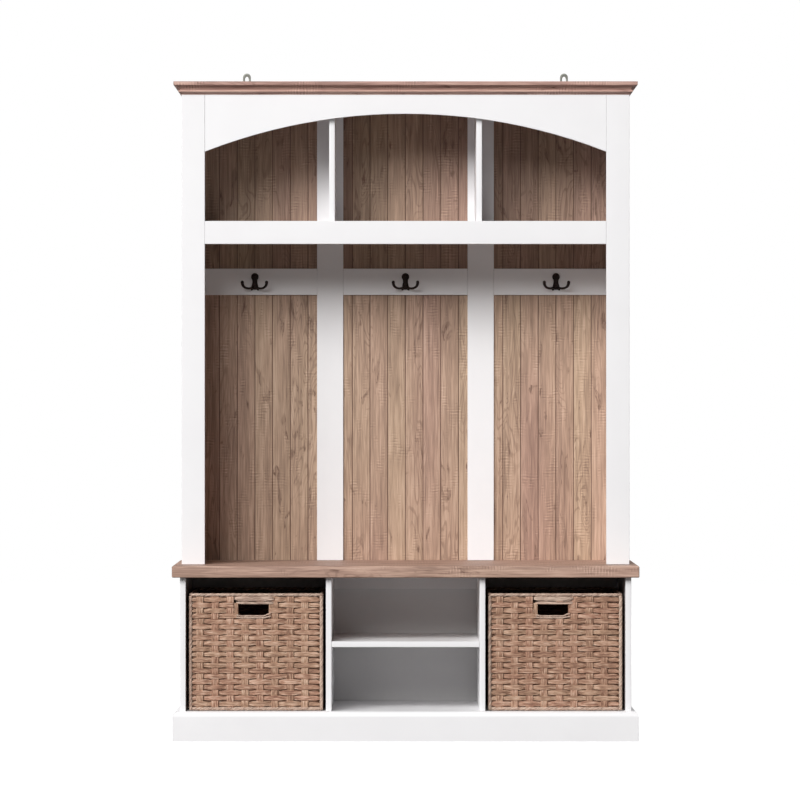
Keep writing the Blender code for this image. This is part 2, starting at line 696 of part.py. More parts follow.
def basket_body(name, mat, x, parent):
    """An open box with rounded corners. Its mouth ends below the rim rope."""
    outer = rounded_rectangle(
        -BASKET_WIDTH / 2, BASKET_WIDTH / 2, 0.0, BASKET_DEPTH, BASKET_CORNER
    )
    inner = rounded_rectangle(
        -BASKET_WIDTH / 2 + BASKET_WALL, BASKET_WIDTH / 2 - BASKET_WALL,
        BASKET_WALL, BASKET_DEPTH - BASKET_WALL, BASKET_CORNER - BASKET_WALL,
    )
    bottom = GAP
    top = BASKET_TOP - BAY_FLOOR - 2 * RIM_RADIUS - GAP
    floor = bottom + BASKET_WALL
    bm = bmesh.new()
    rings = []
    for outline, z in ((outer, bottom), (outer, top), (inner, top), (inner, floor)):
        rings.append([bm.verts.new((a, b, z)) for a, b in outline])
    for a, b in zip(rings, rings[1:]):
        for k in range(len(a)):
            m = (k + 1) % len(a)
            bm.faces.new((a[k], a[m], b[m], b[k]))
    bm.faces.new(rings[0])
    bm.faces.new(rings[-1])
    obj = add_object(name, mesh_from(name, bm), mat)
    obj.parent = parent
    smooth(obj)

    slot_top = BASKET_TOP - SLOT_DROP
    slot = bmesh.new()
    outline = rounded_rectangle(
        x + SLOT_OFFSET - SLOT_WIDTH / 2, x + SLOT_OFFSET + SLOT_WIDTH / 2,
        slot_top - SLOT_HEIGHT, slot_top, SLOT_ROUND, 2,
    )
    add_prism(slot, outline, "xz", BASKET_FRONT - BASKET_WALL, BASKET_FRONT + 2 * BASKET_WALL)
    boolean(obj, "hand_hole", slot)


def inset_ring(inset, z):
    """Points around a basket at one height, a little in from its outer face."""
    outline = rounded_rectangle(
        -BASKET_WIDTH / 2 + inset, BASKET_WIDTH / 2 - inset, inset, BASKET_DEPTH - inset,
        max(BASKET_CORNER - inset, WIRE_RADIUS * 1.5), 3,
    )
    return [(a, b, z) for a, b in outline]


def basket_rim(name, mat, parent):
    path = inset_ring(RIM_RADIUS, BASKET_TOP - BAY_FLOOR - RIM_RADIUS)
    bm = bmesh.new()
    add_tube(bm, path, [RIM_RADIUS] * len(path), 8, closed=True)
    obj = add_object(name, mesh_from(name, bm), mat)
    obj.parent = parent
    smooth(obj, 60)


def basket_wire(name, mat, parent):
    """A wire frame inside the wall: rings at the mouth and the floor, and an upright in each corner."""
    inset = BASKET_WALL + WIRE_RADIUS + 2 * GAP
    low = BASKET_WALL + WIRE_RADIUS + 3 * GAP
    high = BASKET_TOP - BAY_FLOOR - 2 * RIM_RADIUS - WIRE_RADIUS - 3 * GAP
    ring = inset_ring(inset, low)
    bm = bmesh.new()
    add_tube(bm, ring, [WIRE_RADIUS] * len(ring), 6, closed=True)
    obj = add_object(name, mesh_from(name, bm), mat)
    obj.parent = parent
    upper = bmesh.new()
    path = inset_ring(inset, high)
    add_tube(upper, [parent.location + Vector(p) for p in path], [WIRE_RADIUS] * len(path), 6, closed=True)
    uprights = bmesh.new()
    corner = len(ring) // 4
    for k in range(4):
        first = Vector(ring[k * corner + 1])
        second = Vector(ring[k * corner + 2])
        foot = parent.location + (first + second) / 2
        add_rod(uprights, foot, foot + Vector((0, 0, high - low)), WIRE_RADIUS * 0.96, 6)
    boolean(obj, "uprights", uprights, "UNION")
    boolean(obj, "mouth_ring", upper, "UNION")
    smooth(obj, 70)


def build_baskets(fibre, rope, steel):
    for side, sign in SIDES:
        slide = bpy.data.objects.new(f"basket_{side}_slide", None)
        bpy.context.scene.collection.objects.link(slide)
        slide.location = (sign * BASKET_X, BASKET_FRONT, BAY_FLOOR)
        basket_body(f"basket_{side}_body", fibre, sign * BASKET_X, slide)
        basket_rim(f"basket_{side}_rim", rope, slide)
        basket_wire(f"basket_{side}_wire_frame", steel, slide)


# ---------------------------------------------------------------- assembly

def main():
    clear_scene()
    wood = material("oak_decor", (0.42, 0.29, 0.21), 0.55)
    white = material("white_laminate", (0.86, 0.85, 0.85), 0.42)
    bronze = material("oiled_bronze", (0.035, 0.022, 0.020), 0.38, 0.85)
    steel = material("zinc_plated_steel", (0.46, 0.47, 0.44), 0.35, 1.0)
    fibre = material("woven_fibre", (0.40, 0.26, 0.17), 0.75)
    rope = material("fibre_rope", (0.48, 0.34, 0.24), 0.75)

    build_bench(wood, white)
    build_hutch_frame(wood, white)
    build_hutch_back(wood, white)
    build_hooks(bronze)
    build_hangers(steel)
    build_baskets(fibre, rope, steel)


main()
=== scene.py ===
"""The looks of the hall tree: woven baskets, cast hooks, finer mouldings, materials, camera and light.

Everything is in metres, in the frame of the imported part: +Z is up and the front faces -Y.
"""

import math
from collections import namedtuple

import bmesh
import bpy
import numpy as np
from mathutils import Matrix, Vector


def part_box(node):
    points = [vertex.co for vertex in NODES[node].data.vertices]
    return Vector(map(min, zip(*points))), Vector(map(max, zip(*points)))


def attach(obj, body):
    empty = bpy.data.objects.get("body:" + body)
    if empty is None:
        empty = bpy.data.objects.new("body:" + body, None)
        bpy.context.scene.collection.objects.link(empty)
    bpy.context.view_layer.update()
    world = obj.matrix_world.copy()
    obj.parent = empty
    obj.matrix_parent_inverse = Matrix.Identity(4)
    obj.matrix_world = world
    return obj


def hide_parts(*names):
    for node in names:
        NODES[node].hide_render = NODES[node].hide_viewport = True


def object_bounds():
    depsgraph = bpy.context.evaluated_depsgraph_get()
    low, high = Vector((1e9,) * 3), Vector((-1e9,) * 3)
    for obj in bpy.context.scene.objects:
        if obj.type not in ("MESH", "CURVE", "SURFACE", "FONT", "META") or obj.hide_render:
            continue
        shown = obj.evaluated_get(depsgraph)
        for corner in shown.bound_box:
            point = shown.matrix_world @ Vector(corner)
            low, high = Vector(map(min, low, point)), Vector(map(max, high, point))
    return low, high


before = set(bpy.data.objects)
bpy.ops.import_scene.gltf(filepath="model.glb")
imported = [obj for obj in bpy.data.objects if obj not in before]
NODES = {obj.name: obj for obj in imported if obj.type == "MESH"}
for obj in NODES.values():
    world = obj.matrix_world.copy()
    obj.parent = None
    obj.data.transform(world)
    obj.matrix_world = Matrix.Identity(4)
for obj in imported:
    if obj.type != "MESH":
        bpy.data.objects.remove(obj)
CAD_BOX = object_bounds()

SIDES = ("left", "right")
BAYS = ("left", "centre", "right")
X_AXIS = np.array((1.0, 0.0, 0.0))
Y_AXIS = np.array((0.0, 1.0, 0.0))
Z_AXIS = np.array((0.0, 0.0, 1.0))

# ---- sizes

GAP = 0.0003  # joint between two pieces that touch

# Mouldings. The cornice's levels are shares of its height, and its bead's place is a share of its reach
BEAD_FOOT = 0.175
COVE_FOOT = 0.335
COVE_TOP = 0.712
BEAD_OUT = 0.29
CORNICE_EASE = 0.0007
CORNICE_RISE = 0.0018  # step at the foot, where the cornice meets the face frame
PLINTH_ROUND = 0.0145
# Edges sharper than this angle in degrees stay crisp
MOULDING_SHARP = 32
BOARD_SHARP = 50
HOOK_SHARP = 40
FITTING_SHARP = 35

# Weave of a basket, seen from outside
STAKE_PITCH = 0.0386
STAKE_WIDTH = 0.0190
STAKE_FIRST = 0.0290  # long wall's left end to the middle of the first stake
STAKE_COUNT = 8
STAKE_THICK = 0.0020
STAKE_SWING = 0.0010  # how far a stake leans in and out between rows
STAKE_RIBS = 4
STAKE_STEP = 0.0035
LONG_WALL = 0.34  # a wall longer than this is a front or a rear
ROW_PITCH = 0.0141
ROW_COUNT = 20
ROW_FOOT = 0.0106  # underside of the basket to the first row
WEAVER_HEIGHT = 0.0118
WEAVER_THICK = 0.0025
WEAVER_SWING = 0.0015
WEAVER_RIBS = 4
WEAVER_STEP = 0.0038
WEAVER_NARROW = 0.52  # share of a weaver's height that is left at a corner
WEAVER_DIP = 0.0012  # how far it sinks there
WALL_MIDDLE = 0.0036  # outer face of the wall to the middle of the weave
WALL_END = 0.0048  # wall's end to the end of the weft
CORE_DEPTH = 0.0063  # outer face of the wall to the strips inside the weave
CORE_HEIGHT = 0.0078
CORE_THICK = 0.0011

# Ropes of a basket
POST_RADIUS = 0.0046  # rope down each corner
POST_LAY = 0.036  # length of one turn of a rope's strands
FILLER_RADIUS = 0.0021  # cord inside each corner
FILLER_INSET = 0.0066  # outer faces of two walls to that cord
FILLER_LAY = 0.030
BASE_RADIUS = 0.0048  # rope around the foot
BASE_BEND = 0.0094  # radius of its corners
RIM_BEND = 0.0092
RIM_FILL = 1.04  # rim rope's radius over half the height of the CAD rim
RING_LAY = 0.040
RING_STEP = 0.0026
ROPE_STEP = 0.0024
ROPE_SIDES = 20
ROPE_LOBES = 3  # strands laid up into a rope
CORD_LAY = 0.024  # cord below the hand hole

# Floor of a basket
FLOOR_INSET = 0.0075
FLOOR_PITCH = 0.0193
FLOOR_MIDDLE = 0.0036  # underside of the basket to the middle of its floor
FLOOR_SWING = 0.0011
FLOOR_THICK = 0.0020
FLOOR_STEP = 0.005

# Hand hole in a basket's front
SLOT_WIDTH = 0.077
SLOT_HEIGHT = 0.0295
SLOT_DROP = 0.028  # basket top to the top of the hole
SLOT_OFFSET = -0.006  # middle of the hole from the middle of the basket
GRIP_LEFT = 0.118  # wall's left end to the left end of the grip
GRIP_RIGHT = 0.2205
GRIP_THICK = 0.0032

# Hooks
HOOK_HEIGHT = 0.0466
HOOK_REACH = 0.033  # wall plate to the middle of a prong's tip
HOOK_SPREAD = 0.0322  # middle of the hook to the middle of a tip
HOOK_TIP = 0.0024  # top of a tip above the middle of the hook
HOOK_HEAD = 0.0103  # radius of the plate's crown
HOOK_STEM = 0.0066  # half the width of its stem
HOOK_PLATE = 0.0036  # thickness
HOOK_FOOT = 0.0026  # lowest point of the plate to the middle of a prong's bend
PRONG = 0.0031  # radius of a prong
PRONG_TIP = 0.0044
HOOK_VOXEL = 0.00055

# Screws and hangers
SCREW_HEAD = 0.0034  # radius
SCREW_CROWN = 0.0019  # height
SCREW_SHANK = 0.00165  # radius
SCREW_SIDES = 32
SCREW_SEAT = 0.0016  # height of a screw's head in the CAD
SHORT_SCREW = 0.017
LONG_SCREW = 0.020
HANGER_FOOT = 0.0144  # height of the foot
HANGER_ROUND = 0.002
HANGER_FILLET = 0.003
HANGER_NECK = 0.0105  # half the width of the upright
HANGER_EYE = (0.0052, 0.0098)  # half the width and height of the hanging hole
HANGER_EYE_DROP = 0.0075  # middle of the crown's arc to the middle of the hole
HANGER_EASE = 0.0003

# Beadboard
PLANK = 0.047
BAY_MIDDLES = {"left": -0.4, "centre": 0.0, "right": 0.4}

# Camera, light and stage
VIEW_HEIGHT = 0.876
VIEW_SIDE = -0.0144
VIEW_DISTANCE = 10.6
LENS = 182.5
SENSOR = 36.0
LIGHT_TARGET = (0, 0, 0.9)
FLOOR_RADIUS = 9.0
FLOOR_ALBEDO = 0.20
FLOOR_GLOW = 0.92  # seen by the camera only
WORLD_FILL = 0.055  # light of the room on the object

# ---- colours

WHITE = ((0.850, 0.838, 0.846), (0.872, 0.862, 0.868))
# Darker copy of the white for the bench back panel: painted shade at the back of the cubbies
SHADED_PANEL_WHITE = ((0.745, 0.732, 0.730), (0.768, 0.755, 0.752))
RAW_BOARD = ((0.235, 0.165, 0.105), (0.330, 0.245, 0.165))
OAK_PINK = (0.452, 0.279, 0.211)
OAK_STRAW = (0.455, 0.318, 0.212)
OAK_ROSY = (0.452, 0.262, 0.222)
OAK_DARK = (0.130, 0.062, 0.040)
OAK_PALE = (0.680, 0.540, 0.430)
OAK_STAIN = (0.190, 0.098, 0.064)
BRONZE = ((0.020, 0.013, 0.012), (0.036, 0.023, 0.020))
BRONZE_WORN = (0.20, 0.105, 0.065)
ZINC = ((0.170, 0.178, 0.158), (0.250, 0.258, 0.232))

# Red, straw and dark tones of each kind of fibre
WOVEN = ((0.400, 0.198, 0.128), (0.430, 0.268, 0.170), (0.10, 0.032, 0.012))
ROPE = ((0.470, 0.300, 0.232), (0.535, 0.412, 0.322), (0.12, 0.05, 0.025))
# The core's tones are kept dark: painted shade in the slits of the weave and at its corners
SHADED_CORE = ((0.150, 0.064, 0.034), (0.190, 0.098, 0.052), (0.06, 0.022, 0.010))
FIBRE_PALE = (0.700, 0.560, 0.450)

# ---- noise

CLOUD = 7.0  # slow change of tone over white boards
PEEL = 700.0  # fine orange peel of their surface
SAW_PITCH = 0.0078  # distance between saw marks
RING_LINES = 110.0  # growth rings for each unit of their noise

# Scales across, into and along the grain, then detail, roughness, distortion and shift
OAK_NOISE = {
    "fine": ((520, 520, 15), 2.0, 0.6),
    "strands": ((170, 170, 6.0), 3.0, 0.62, 0.2),
    "slow": ((24, 24, 2.0), 2.0, 0.5, 0.4),
    "drift": ((7, 7, 1.3), 1.0),
    "rings": ((24, 24, 3.2), 1.5, 0.4, 0.8),
    "ring_patch": ((10, 10, 2.0), 1.0),
    "knots": ((27, 27, 9.0), 2.0, 0.6, 1.2, (4, 0, 2)),
    "flecks": ((240, 240, 36), 2.0, 0.7, 0.8),
    "saw_waver": ((30, 30, 30), 1.0),
    "saw_breaks": ((75, 75, 220), 1.0),
    "saw_patch": ((22, 22, 10.0), 2.0, 0.6, 0.5, (3, 7, 1)),
}

# Scales along and across a strand and by its tone, then as above
FIBRE_NOISE = {
    "lines": ((30, 1300, 1), 3.0, 0.65),
    "strips": ((46, 360, 1), 2.0, 0.6, 0.4, (2, 4, 0)),
    "splits": ((20, 560, 1), 2.0, 0.6, 0.3, (5, 3, 0)),
    "patch": ((60, 110, 1), 2.0, 0.5, 0.0, (1, 9, 0)),
}


# ---- shader graphs

class Graph:
    """A material, with short ways to add nodes to it."""

    def __init__(self, name):
        self.material = bpy.data.materials.new(name)
        self.material.use_nodes = True
        self.tree = self.material.node_tree
        self.shader = self.tree.nodes["Principled BSDF"]

    def node(self, kind, inputs=None, **settings):
        node = self.tree.nodes.new(kind)
        for key, value in settings.items():
            setattr(node, key, value)
        for key, value in (inputs or {}).items():
            self.feed(node.inputs[key], value)
        return node

    def feed(self, socket, value):
        if isinstance(value, bpy.types.NodeSocket):
            self.tree.links.new(value, socket)
        else:
            socket.default_value = value

    def place(self):
        return self.node("ShaderNodeTexCoord").outputs["Object"]

    def math(self, operation, a, b=0.0):
        return self.node("ShaderNodeMath", {0: a, 1: b}, operation=operation).outputs[0]

    def plus(self, a, b):
        return self.math("ADD", a, b)

    def minus(self, a, b):
        return self.math("SUBTRACT", a, b)

    def times(self, a, b):
        return self.math("MULTIPLY", a, b)

    def weighted(self, total, wave, size):
        """Adds a wave about 0.5 to a total, at a size."""
        return self.plus(total, self.times(self.minus(wave, 0.5), size))

    def noise(self, vector, scale=1.0, detail=2.0, roughness=0.5, distortion=0.0):
        inputs = {
            "Vector": vector, "Scale": scale, "Detail": detail,
            "Roughness": roughness, "Distortion": distortion,
        }
        return self.node("ShaderNodeTexNoise", inputs).outputs[0]

    def layer(self, vector, scales, detail=2.0, roughness=0.5, distortion=0.0, shift=(0, 0, 0)):
        """Noise with a scale of its own along each axis."""
        inputs = {"Vector": vector, "Scale": scales, "Location": shift}
        stretched = self.node("ShaderNodeMapping", inputs).outputs[0]
        return self.noise(stretched, 1.0, detail, roughness, distortion)

    def white(self, vector):
        return self.node("ShaderNodeTexWhiteNoise", {"Vector": vector}).outputs["Value"]

    def span(self, value, low, high, to_low=0.0, to_high=1.0, smooth=False):
        """Maps low..high to to_low..to_high, and holds it there."""
        inputs = {
            "Value": value, "From Min": low, "From Max": high, "To Min": to_low, "To Max": to_high,
        }
        node = self.node("ShaderNodeMapRange", inputs)
        if smooth:
            node.interpolation_type = "SMOOTHSTEP"
        return node.outputs[0]

    def mix(self, factor, a, b, blend="MIX"):
        node = self.node("ShaderNodeMix", data_type="RGBA", blend_type=blend)
        self.feed(node.inputs["Factor"], factor)
        for socket, colour in ((node.inputs[6], a), (node.inputs[7], b)):
            self.feed(socket, colour if isinstance(colour, bpy.types.NodeSocket) else (*colour, 1.0))
        return node.outputs[2]

    def brighten(self, colour, factor):
        """Multiplies a colour by a number that varies over the surface."""
        grey = self.node("ShaderNodeCombineColor", {0: factor, 1: factor, 2: factor}).outputs[0]
        return self.mix(1.0, colour, grey, "MULTIPLY")

    def weathered(self, colour, shade, dark, pale):
        """Shades a colour about 1: low values turn to a rich dark, and high ones to a pale tone."""
        dark_share = self.span(shade, 1.0, 0.45, 0.0, 0.65)
        pale_share = self.span(shade, 1.0, 1.6, 0.0, 0.75)
        colour = self.mix(dark_share, self.brighten(colour, shade), dark)
        return self.mix(pale_share, colour, pale)

    def join(self, x, y, z):
        return self.node("ShaderNodeCombineXYZ", {0: x, 1: y, 2: z}).outputs[0]

    def split(self, vector):
        return self.node("ShaderNodeSeparateXYZ", {0: vector}).outputs

    def behind(self):
        """1 on the faces that look to the rear."""
        normal = self.node("ShaderNodeNewGeometry").outputs["Normal"]
        return self.span(self.split(normal)[1], 0.4, 0.6)

    def bump(self, height, strength, distance):
        inputs = {"Height": height, "Strength": strength, "Distance": distance}
        node = self.node("ShaderNodeBump", inputs)
        self.tree.links.new(node.outputs[0], self.shader.inputs["Normal"])

    def finish(self, colour, roughness, metallic=0.0):
        self.feed(self.shader.inputs["Base Color"], colour)
        self.feed(self.shader.inputs["Roughness"], roughness)
        self.shader.inputs["Metallic"].default_value = metallic
        return self.material


def clouded_white(g, place, tones):
    """White board, with a faint change of tone and a fine peel."""
    cloud = g.noise(place, CLOUD, 3.0)
    g.bump(g.noise(place, PEEL, 1.0), 0.04, 0.0002)
    return g.mix(g.span(cloud, 0.3, 0.7), *tones)


def white_laminate():
    g = Graph("white_laminate_visual")
    place = g.place()
    colour = clouded_white(g, place, WHITE)
    return g.finish(colour, g.span(g.noise(place, 34.0, 3.0), 0.3, 0.7, 0.36, 0.46))


def raw_board(g, place):
    """The unfinished back of a panel: pressed wood fibre."""
    return g.mix(g.span(g.noise(place, 420.0, 3.0), 0.35, 0.65), *RAW_BOARD)


def shaded_white_panel():
    """A darker white on its front, as painted shade for the backs of the cubbies, and raw board behind."""
    g = Graph("white_panel_visual")
    place = g.place()
    behind = g.behind()
    front = clouded_white(g, place, SHADED_PANEL_WHITE)
    return g.finish(g.mix(behind, front, raw_board(g, place)), g.span(behind, 0.0, 1.0, 0.42, 0.85))


def oak(name, grain, bay=None, seed=0.0, rosy=0.0, light=1.0, figure=0.13, contrast=1.0):
    """Rough-sawn oak decor, with its grain along x, y or z.

    With a bay, the tone changes from plank to plank, the grooves get painted shade with a painted highlight
    on their lip, and the back shows raw board.
    """
    g = Graph(name)
    place = g.place()
    x, y, z = g.split(place)
    along, across, depth = {"x": (x, z, y), "y": (y, z, x), "z": (z, x, y)}[grain]
    spot = g.join(across, g.plus(depth, seed), along)

    if bay is None:
        plank = g.white(g.join(seed, seed, seed))
        shifted = spot
    else:
        count = g.math("DIVIDE", g.minus(x, bay), PLANK)
        number = g.math("FLOOR", count)
        plank = g.white(g.join(number, bay * 10 + seed, 3.0))
        slip = g.times(plank, 5.0)
        shifted = g.join(across, g.plus(slip, y), g.plus(along, slip))

    def layer(vector, key):
        return g.layer(vector, *OAK_NOISE[key])

    fine = layer(spot, "fine")
    strands = layer(shifted, "strands")
    slow = layer(shifted, "slow")
    drift = layer(spot, "drift")

    # Growth rings: contour lines of a stretched noise
    rings = g.math("SINE", g.times(layer(shifted, "rings"), RING_LINES))
    ring_here = g.span(layer(shifted, "ring_patch"), 0.46, 0.60)
    ring_dark = g.times(g.span(rings, 0.30, 1.0, smooth=True), ring_here)

    # Knots and dark flecks
    knot = g.span(layer(shifted, "knots"), 0.615, 0.70, smooth=True)
    fleck = g.span(layer(spot, "flecks"), 0.54, 0.66)
    knot_dark = g.times(knot, g.plus(0.25, fleck))

    # Saw marks: short strokes square to the grain, in clusters
    waver_here = g.times(layer(spot, "saw_waver"), 7.0)
    turn = g.times(along, 2 * math.pi / SAW_PITCH)
    stroke = g.math("SINE", g.plus(turn, waver_here))
    broken = g.span(layer(spot, "saw_breaks"), 0.40, 0.60)
    cluster = g.span(layer(spot, "saw_patch"), 0.53, 0.66)
    sawn = g.times(g.times(stroke, broken), cluster)

    tone = g.plus(g.times(plank, 0.40), g.times(drift, 1.1))
    colour = g.mix(g.span(tone, 0.35, 1.15), OAK_PINK, OAK_STRAW)
    if rosy:
        colour = g.mix(rosy, colour, OAK_ROSY)

    shade = 0.97 * light
    for wave, size in ((fine, 0.80), (strands, 0.95), (slow, 0.50), (plank, 0.10)):
        shade = g.weighted(shade, wave, size * contrast)
    shade = g.minus(shade, g.times(ring_dark, figure))
    shade = g.minus(shade, g.times(knot_dark, 0.50))
    shade = g.plus(shade, g.times(sawn, 0.22 * contrast))
    # Painted shade in the grooves between planks, and a painted highlight on their lips
    if bay is not None:
        shade = painted_groove_light(g, shade, count)
    colour = g.weathered(colour, shade, OAK_DARK, OAK_PALE)
    stained = g.plus(knot_dark, g.times(ring_dark, figure * 2.5))
    colour = g.mix(g.span(stained, 0.0, 1.2, 0.0, 0.5), colour, OAK_STAIN)

    relief = g.plus(g.times(fine, 0.5), g.times(strands, 0.6))
    relief = g.plus(relief, g.times(sawn, 0.35))
    g.bump(relief, 0.35, 0.0005)
    if bay is not None:
        colour = g.mix(g.behind(), colour, raw_board(g, place))
    return g.finish(colour, g.span(strands, 0.3, 0.7, 0.62, 0.50))


def painted_groove_light(g, shade, count):
    """Paints shade into the groove between two planks, and a painted highlight on the lip at its right,
    where the light from the left falls.
    """
    part = g.minus(g.math("FRACT", g.plus(count, 0.5)), 0.5)
    aside = g.times(part, PLANK)
    groove_shade = g.span(g.math("ABSOLUTE", aside), 0.0006, 0.0017, 0.53, 1.0)
    lip_highlight = g.times(g.span(aside, 0.0018, 0.0024), g.span(aside, 0.0040, 0.0030))
    return g.plus(g.times(shade, groove_shade), g.times(lip_highlight, 0.10))


def bronze():
    """Dark oil-rubbed bronze, a little worn on its high spots."""
    g = Graph("oiled_bronze_visual")
    place = g.place()
    patch = g.noise(place, 160.0, 3.0)
    high = g.span(g.node("ShaderNodeNewGeometry").outputs["Pointiness"], 0.52, 0.60)
    worn = g.times(high, g.span(patch, 0.45, 0.65))
    colour = g.mix(g.span(patch, 0.3, 0.7), *BRONZE)
    colour = g.mix(g.times(worn, 0.5), colour, BRONZE_WORN)
    g.bump(g.noise(place, 900.0, 2.0), 0.12, 0.0003)
    return g.finish(colour, g.span(patch, 0.3, 0.7, 0.34, 0.50), metallic=0.7)


def zinc():
    """Zinc-plated steel, with a faint crystal pattern and fine rolling lines."""
    g = Graph("zinc_plated_steel_visual")
    place = g.place()
    crystal = g.node("ShaderNodeTexVoronoi", {"Vector": place, "Scale": 260.0}).outputs["Color"]
    tone = g.node("ShaderNodeSeparateColor", {0: crystal}).outputs[0]
    g.bump(g.layer(place, (90, 90, 1500), 2.0), 0.08, 0.0002)
    return g.finish(g.mix(tone, *ZINC), g.span(tone, 0.0, 1.0, 0.42, 0.55), metallic=0.65)


def fibre(name, red, straw, dark):
    """Flat plant fibre. The attribute holds where a point lies along and across its strand, and a tone."""
    g = Graph(name)
    where = g.node("ShaderNodeAttribute", attribute_name="fibre").outputs["Vector"]
    along, across, tone = g.split(where)
    shifted = g.join(along, across, g.times(tone, 37.0))
    lines, strips, splits, patch = (g.layer(shifted, *FIBRE_NOISE[key]) for key in FIBRE_NOISE)
    bright = g.white(g.join(tone, 1.0, 2.0))
    strand_hue = g.times(g.white(g.join(tone, 0.0, 0.0)), 0.5)
    hue = g.plus(strand_hue, g.times(strips, 0.8))
    colour = g.mix(g.span(hue, 0.30, 1.0), red, straw)
    shade = 1.0
    for wave, size in ((bright, 0.22), (lines, 0.80), (strips, 1.45), (patch, 0.60)):
        shade = g.weighted(shade, wave, size)
    colour = g.weathered(colour, g.math("MAXIMUM", shade, 0.12), dark, FIBRE_PALE)
    crack = g.span(splits, 0.43, 0.32)
    colour = g.mix(g.times(crack, 0.8), colour, dark)
    height = g.plus(g.times(lines, 0.6), g.plus(splits, strips))
    g.bump(height, 0.6, 0.0008)
    return g.finish(colour, g.span(lines, 0.3, 0.7, 0.78, 0.62))


# ---- mesh helpers

def add_object(name, mesh, mat=None, location=(0, 0, 0)):
    obj = bpy.data.objects.new(name, mesh)
    bpy.context.scene.collection.objects.link(obj)
    obj.location = location
    mesh.materials.clear()
    if mat:
        mesh.materials.append(mat)
    return obj


def smooth_shade(mesh, sharp=None):
    """Smooth shading, with edges sharper than an angle in degrees kept crisp."""
    mesh.shade_smooth()
    if sharp is not None:
        mesh.set_sharp_from_angle(angle=math.radians(sharp))


def mesh_from(name, bm, sharp=None):
    bmesh.ops.recalc_face_normals(bm, faces=bm.faces[:])
    mesh = bpy.data.meshes.new(name)
    bm.to_mesh(mesh)
    bm.free()
    smooth_shade(mesh, sharp)
    return mesh


def evaluated(obj):
    """The mesh of an object with its modifiers applied."""
    bpy.context.view_layer.update()
    depsgraph = bpy.context.evaluated_depsgraph_get()
    mesh = bpy.data.meshes.new_from_object(obj.evaluated_get(depsgraph))
    bpy.data.objects.remove(obj, do_unlink=True)
    return mesh


def arc(centre, radius, start, end, steps):
    """Points of an arc, with its angles in degrees. The radius may differ across and up."""
    wide, high = radius if isinstance(radius, tuple) else (radius, radius)
    points = []
    for i in range(steps + 1):
        a = math.radians(start + (end - start) * i / steps)
        points.append((centre[0] + wide * math.cos(a), centre[1] + high * math.sin(a)))
    return points


def both_halves(half, skip_first):
    """An outline from its right half, which ends on the middle line."""
    return half + [(-x, z) for x, z in reversed(half[skip_first:-1])]


def add_wall_faces(bm, first, last):
    """The faces between two outlines with the same number of points."""
    for i in range(len(first)):
        j = (i + 1) % len(first)
        bm.faces.new((first[i], first[j], last[j], last[i]))


def stand_for(piece, node):
    """Puts a piece on the cabinet in the place of a CAD node, and hides the node."""
    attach(piece, "cabinet")
    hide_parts(node)


def keep_node(node, mat):
    """A CAD board keeps its shape, and gets a material and smooth eased edges."""
    obj = NODES[node]
    for slot in obj.material_slots:
        slot.material = mat
    mesh = obj.data
    if "custom_normal" in mesh.attributes:
        mesh.attributes.remove(mesh.attributes["custom_normal"])
    mesh.shade_smooth()
    weld = obj.modifiers.new("weld", "WELD")
    weld.merge_threshold = 0.00001
    split = obj.modifiers.new("split", "EDGE_SPLIT")
    split.split_angle = math.radians(BOARD_SHARP)
    obj.modifiers.new("normals", "WEIGHTED_NORMAL")


# ---- mouldings

def cornice_profile(out, top):
    """Distance out and height, up the outer face of the cornice: slope, bead, deep cove and fillet."""
    bead_foot = top * BEAD_FOOT
    cove_foot = top * COVE_FOOT
    cove_top = top * COVE_TOP
    bead = (cove_foot - bead_foot) / 2
    ease = CORNICE_EASE
    points = [(0.0, 0.0), (out * 0.01, 0.0), (out * 0.02, CORNICE_RISE)]
    points += [(out * (BEAD_OUT - 0.02), bead_foot * 0.96)]
    points += arc((out * BEAD_OUT, bead_foot + bead), bead, -70, 80, 10)
    points += arc((out * 0.96, cove_foot), (out * 0.74, cove_top - cove_foot), 175, 90, 14)
    points += arc((out - ease, cove_top + ease), ease, -90, 0, 3)
    points += arc((out - ease, top - ease), ease, 0, 90, 3)
    points += [(0.0, top)]
    return points


def plinth_profile(out, top):
    """A board with a rounded top edge."""
    points = [(0.0, 0.0), (out, 0.0)]
    points += arc((out - PLINTH_ROUND, top - PLINTH_ROUND), PLINTH_ROUND, 0, 90, 16)
    points += [(0.0, top)]
    return points


def moulding_point(run, low, high, out, up, last):
    """Where a point of the profile lies at the first or last end of a moulding with its mitre in front."""
    z = low.z + up
    if run == "front":
        reach = high.y - low.y
        x = high.x - reach + out if last else low.x + reach - out
        return (x, high.y - out, z)
    reach = high.x - low.x
    x = high.x - out if run == "left" else low.x + out
    y = high.y if last else low.y + reach - out
    return (x, y, z)


def moulding(node, mat, profile):
    """A mitred length of a profile in a CAD moulding's place. The name tells which side it runs along."""
    low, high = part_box(node)
    run = node.rsplit("_", 1)[1]
    reach = high.y - low.y if run == "front" else high.x - low.x
    outline = profile(reach, high.z - low.z)
    bm = bmesh.new()
    first, last = (
        [bm.verts.new(moulding_point(run, low, high, out, up, end)) for out, up in outline]
        for end in (False, True)
    )
    bm.faces.new(first)
    bm.faces.new(last)
    add_wall_faces(bm, first, last)
    piece = add_object(f"{node}_moulding", mesh_from(node, bm, MOULDING_SHARP), mat)
    stand_for(piece, node)


# ---- strands

